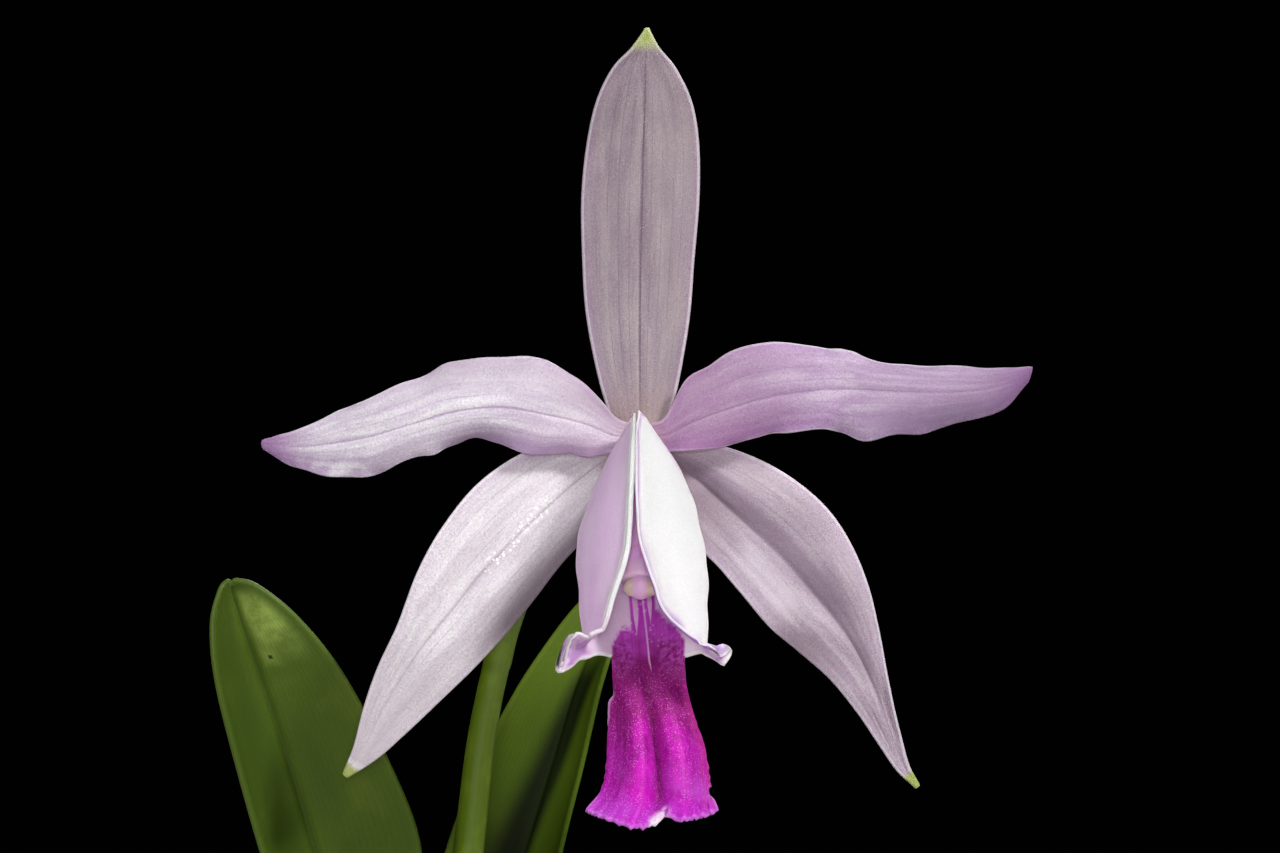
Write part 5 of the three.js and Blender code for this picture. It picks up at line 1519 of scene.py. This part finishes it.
def bark_mix():
    """The filling and all chips, held inside the pot's wall."""
    rng = np.random.default_rng(BARK.seed)
    foot = pot_inside(POT.floor) - BARK.clear
    low, high = POT.floor + 0.35, BARK.top - 1
    top = pot_inside(BARK.top) - BARK.clear
    filling = lathe([[0, low], [foot, low], [top, high], [0.7 * top, high], [0, high]], BARK.sides)
    shape = joined([filling, *large_chips(rng), *small_chips(rng)])
    points = shape["points"]
    r = np.linalg.norm(points[:, :2], axis=1)
    limit = pot_inside(np.minimum(points[:, 2], POT.height)) - BARK.clear
    points[:, :2] *= np.minimum(1, limit / np.maximum(r, 1e-9))[:, None]
    piece("bark_heap", shape, bark_finish(), ["bark_mix"])


# Pot

def arc(centre, radius, start, end, steps=5):
    angles = np.radians(np.linspace(start, end, steps))
    return [[centre[0] + radius * math.cos(a), centre[1] + radius * math.sin(a)] for a in angles]


def straight(start, end, count):
    """Points on a line, from one radius and height to another."""
    return [[lerp(start[0], end[0], t), lerp(start[1], end[1], t)] for t in np.linspace(0, 1, count)]


def pot_profile():
    """Radii and heights from the middle of the underside, up the outside and down the inside to the floor."""
    top, height, foot, bevel, floor = POT.top_radius, POT.height, POT.foot_radius, POT.foot_bevel, POT.floor
    rim_foot = height - POT.rim_height
    inside, corner = pot_inside(height), pot_inside(floor)
    return [
        [0, 0], [foot / 2, 0], [foot - bevel, 0], *arc([foot - bevel, bevel], bevel, -70, -10),
        *straight([foot, bevel], [top - POT.rim_step, rim_foot], 24),
        *arc([top - 2.4, rim_foot + 3.2], 2.6, -75, -20),
        *straight([top, rim_foot + 4], [top + 0.6, height - 3], 6),
        *arc([top - 1.6, height - 2.2], 2.2, 15, 88), *arc([inside + 1.6, height - 1.6], 1.5, 92, 170),
        *straight([inside, height - 2.6], [corner, floor + 1], 20),
        [corner - 1, floor], [foot / 2, floor], [0, floor],
    ]


def pot():
    made = piece("pot_clay", lathe(pot_profile(), POT.sides), clay_finish(), ["pot"])
    for k in range(POT.drains):
        place = around(POT.drain_ring, TURN * (k + 0.5) / POT.drains, POT.floor / 2)
        bpy.ops.mesh.primitive_cylinder_add(
            vertices=40, radius=POT.drain_radius * MM, depth=3 * POT.floor * MM, location=Vector(place) * MM,
        )
        drill = bpy.context.object
        cutter = made.modifiers.new("drain", "BOOLEAN")
        cutter.operation, cutter.object = "DIFFERENCE", drill
        bpy.context.view_layer.objects.active = made
        bpy.ops.object.modifier_apply(modifier=cutter.name)
        bpy.data.objects.remove(drill)


# Stage, lights and camera

FLOOR = Sizes(size=12, middle=(0, -3.25, 0), tone=(214, 212, 208))
BACKDROP = (0.0004, 0.0004, 0.0005, 1)
CAMERA = Sizes(lens=100, sensor=36, place=(0.012, -0.5338, 0.4005))

# Lights: degrees right of the camera and up, distance, size, power, and the place that they point at.
LIGHTS = {
    "key": (45, 35, 0.9, 0.16, 6.6, FLOWER * MM),
    "left": (-45, 25, 0.45, 0.14, 0.6, FLOWER * MM),
    "front": (0, 3, 0.6, 0.12, 1.25, FLOWER * MM),
    "back": (165, 48, 1.2, 0.5, 7, (0, 0, 0.25)),
    "soft": (10, 55, 1.7, 1, 3, (0, 0, 0.15)),
}


def stage():
    bpy.ops.mesh.primitive_plane_add(size=FLOOR.size, location=FLOOR.middle)
    floor = bpy.context.object
    floor.name = "floor"
    f = Finish("floor_paper", FLOOR.tone, 0.8)
    f.shade(f.noise(60) * 0.04 + 0.98)
    floor.data.materials.append(f.done())
    world = bpy.data.worlds.new("studio")
    world.use_nodes = True
    world.node_tree.nodes["Background"].inputs["Color"].default_value = BACKDROP
    bpy.context.scene.world = world
    bpy.context.scene.view_settings.view_transform = "Standard"


def light(name, azimuth, elevation, distance, size, power, target):
    """An area light in a direction (degrees right of the camera, degrees up) from a target."""
    right, up = math.radians(azimuth), math.radians(elevation)
    away = Vector(around(math.cos(up), right - math.pi / 2, math.sin(up)))
    data = bpy.data.lights.new(name, "AREA")
    data.shape, data.size, data.energy = "DISK", size, power
    made = linked(name, data)
    made.location = Vector(target) + away * distance
    made.rotation_mode = "QUATERNION"
    made.rotation_quaternion = (-away).to_track_quat("-Z", "Y")
    made.visible_camera = False


def camera():
    data = bpy.data.cameras.new("camera")
    data.lens, data.sensor_width = CAMERA.lens, CAMERA.sensor
    made = linked("camera", data)
    made.location = CAMERA.place
    made.rotation_euler = (math.pi / 2, 0, 0)
    bpy.context.scene.camera = made


camera()
sepals_and_petals()
lip(lip_finish())
column()
anther()
leaves()
stalk()
spathe()
pseudobulbs()
rhizome()
roots()
bark_mix()
pot()
stage()
for name, settings in LIGHTS.items():
    light(name, *settings)
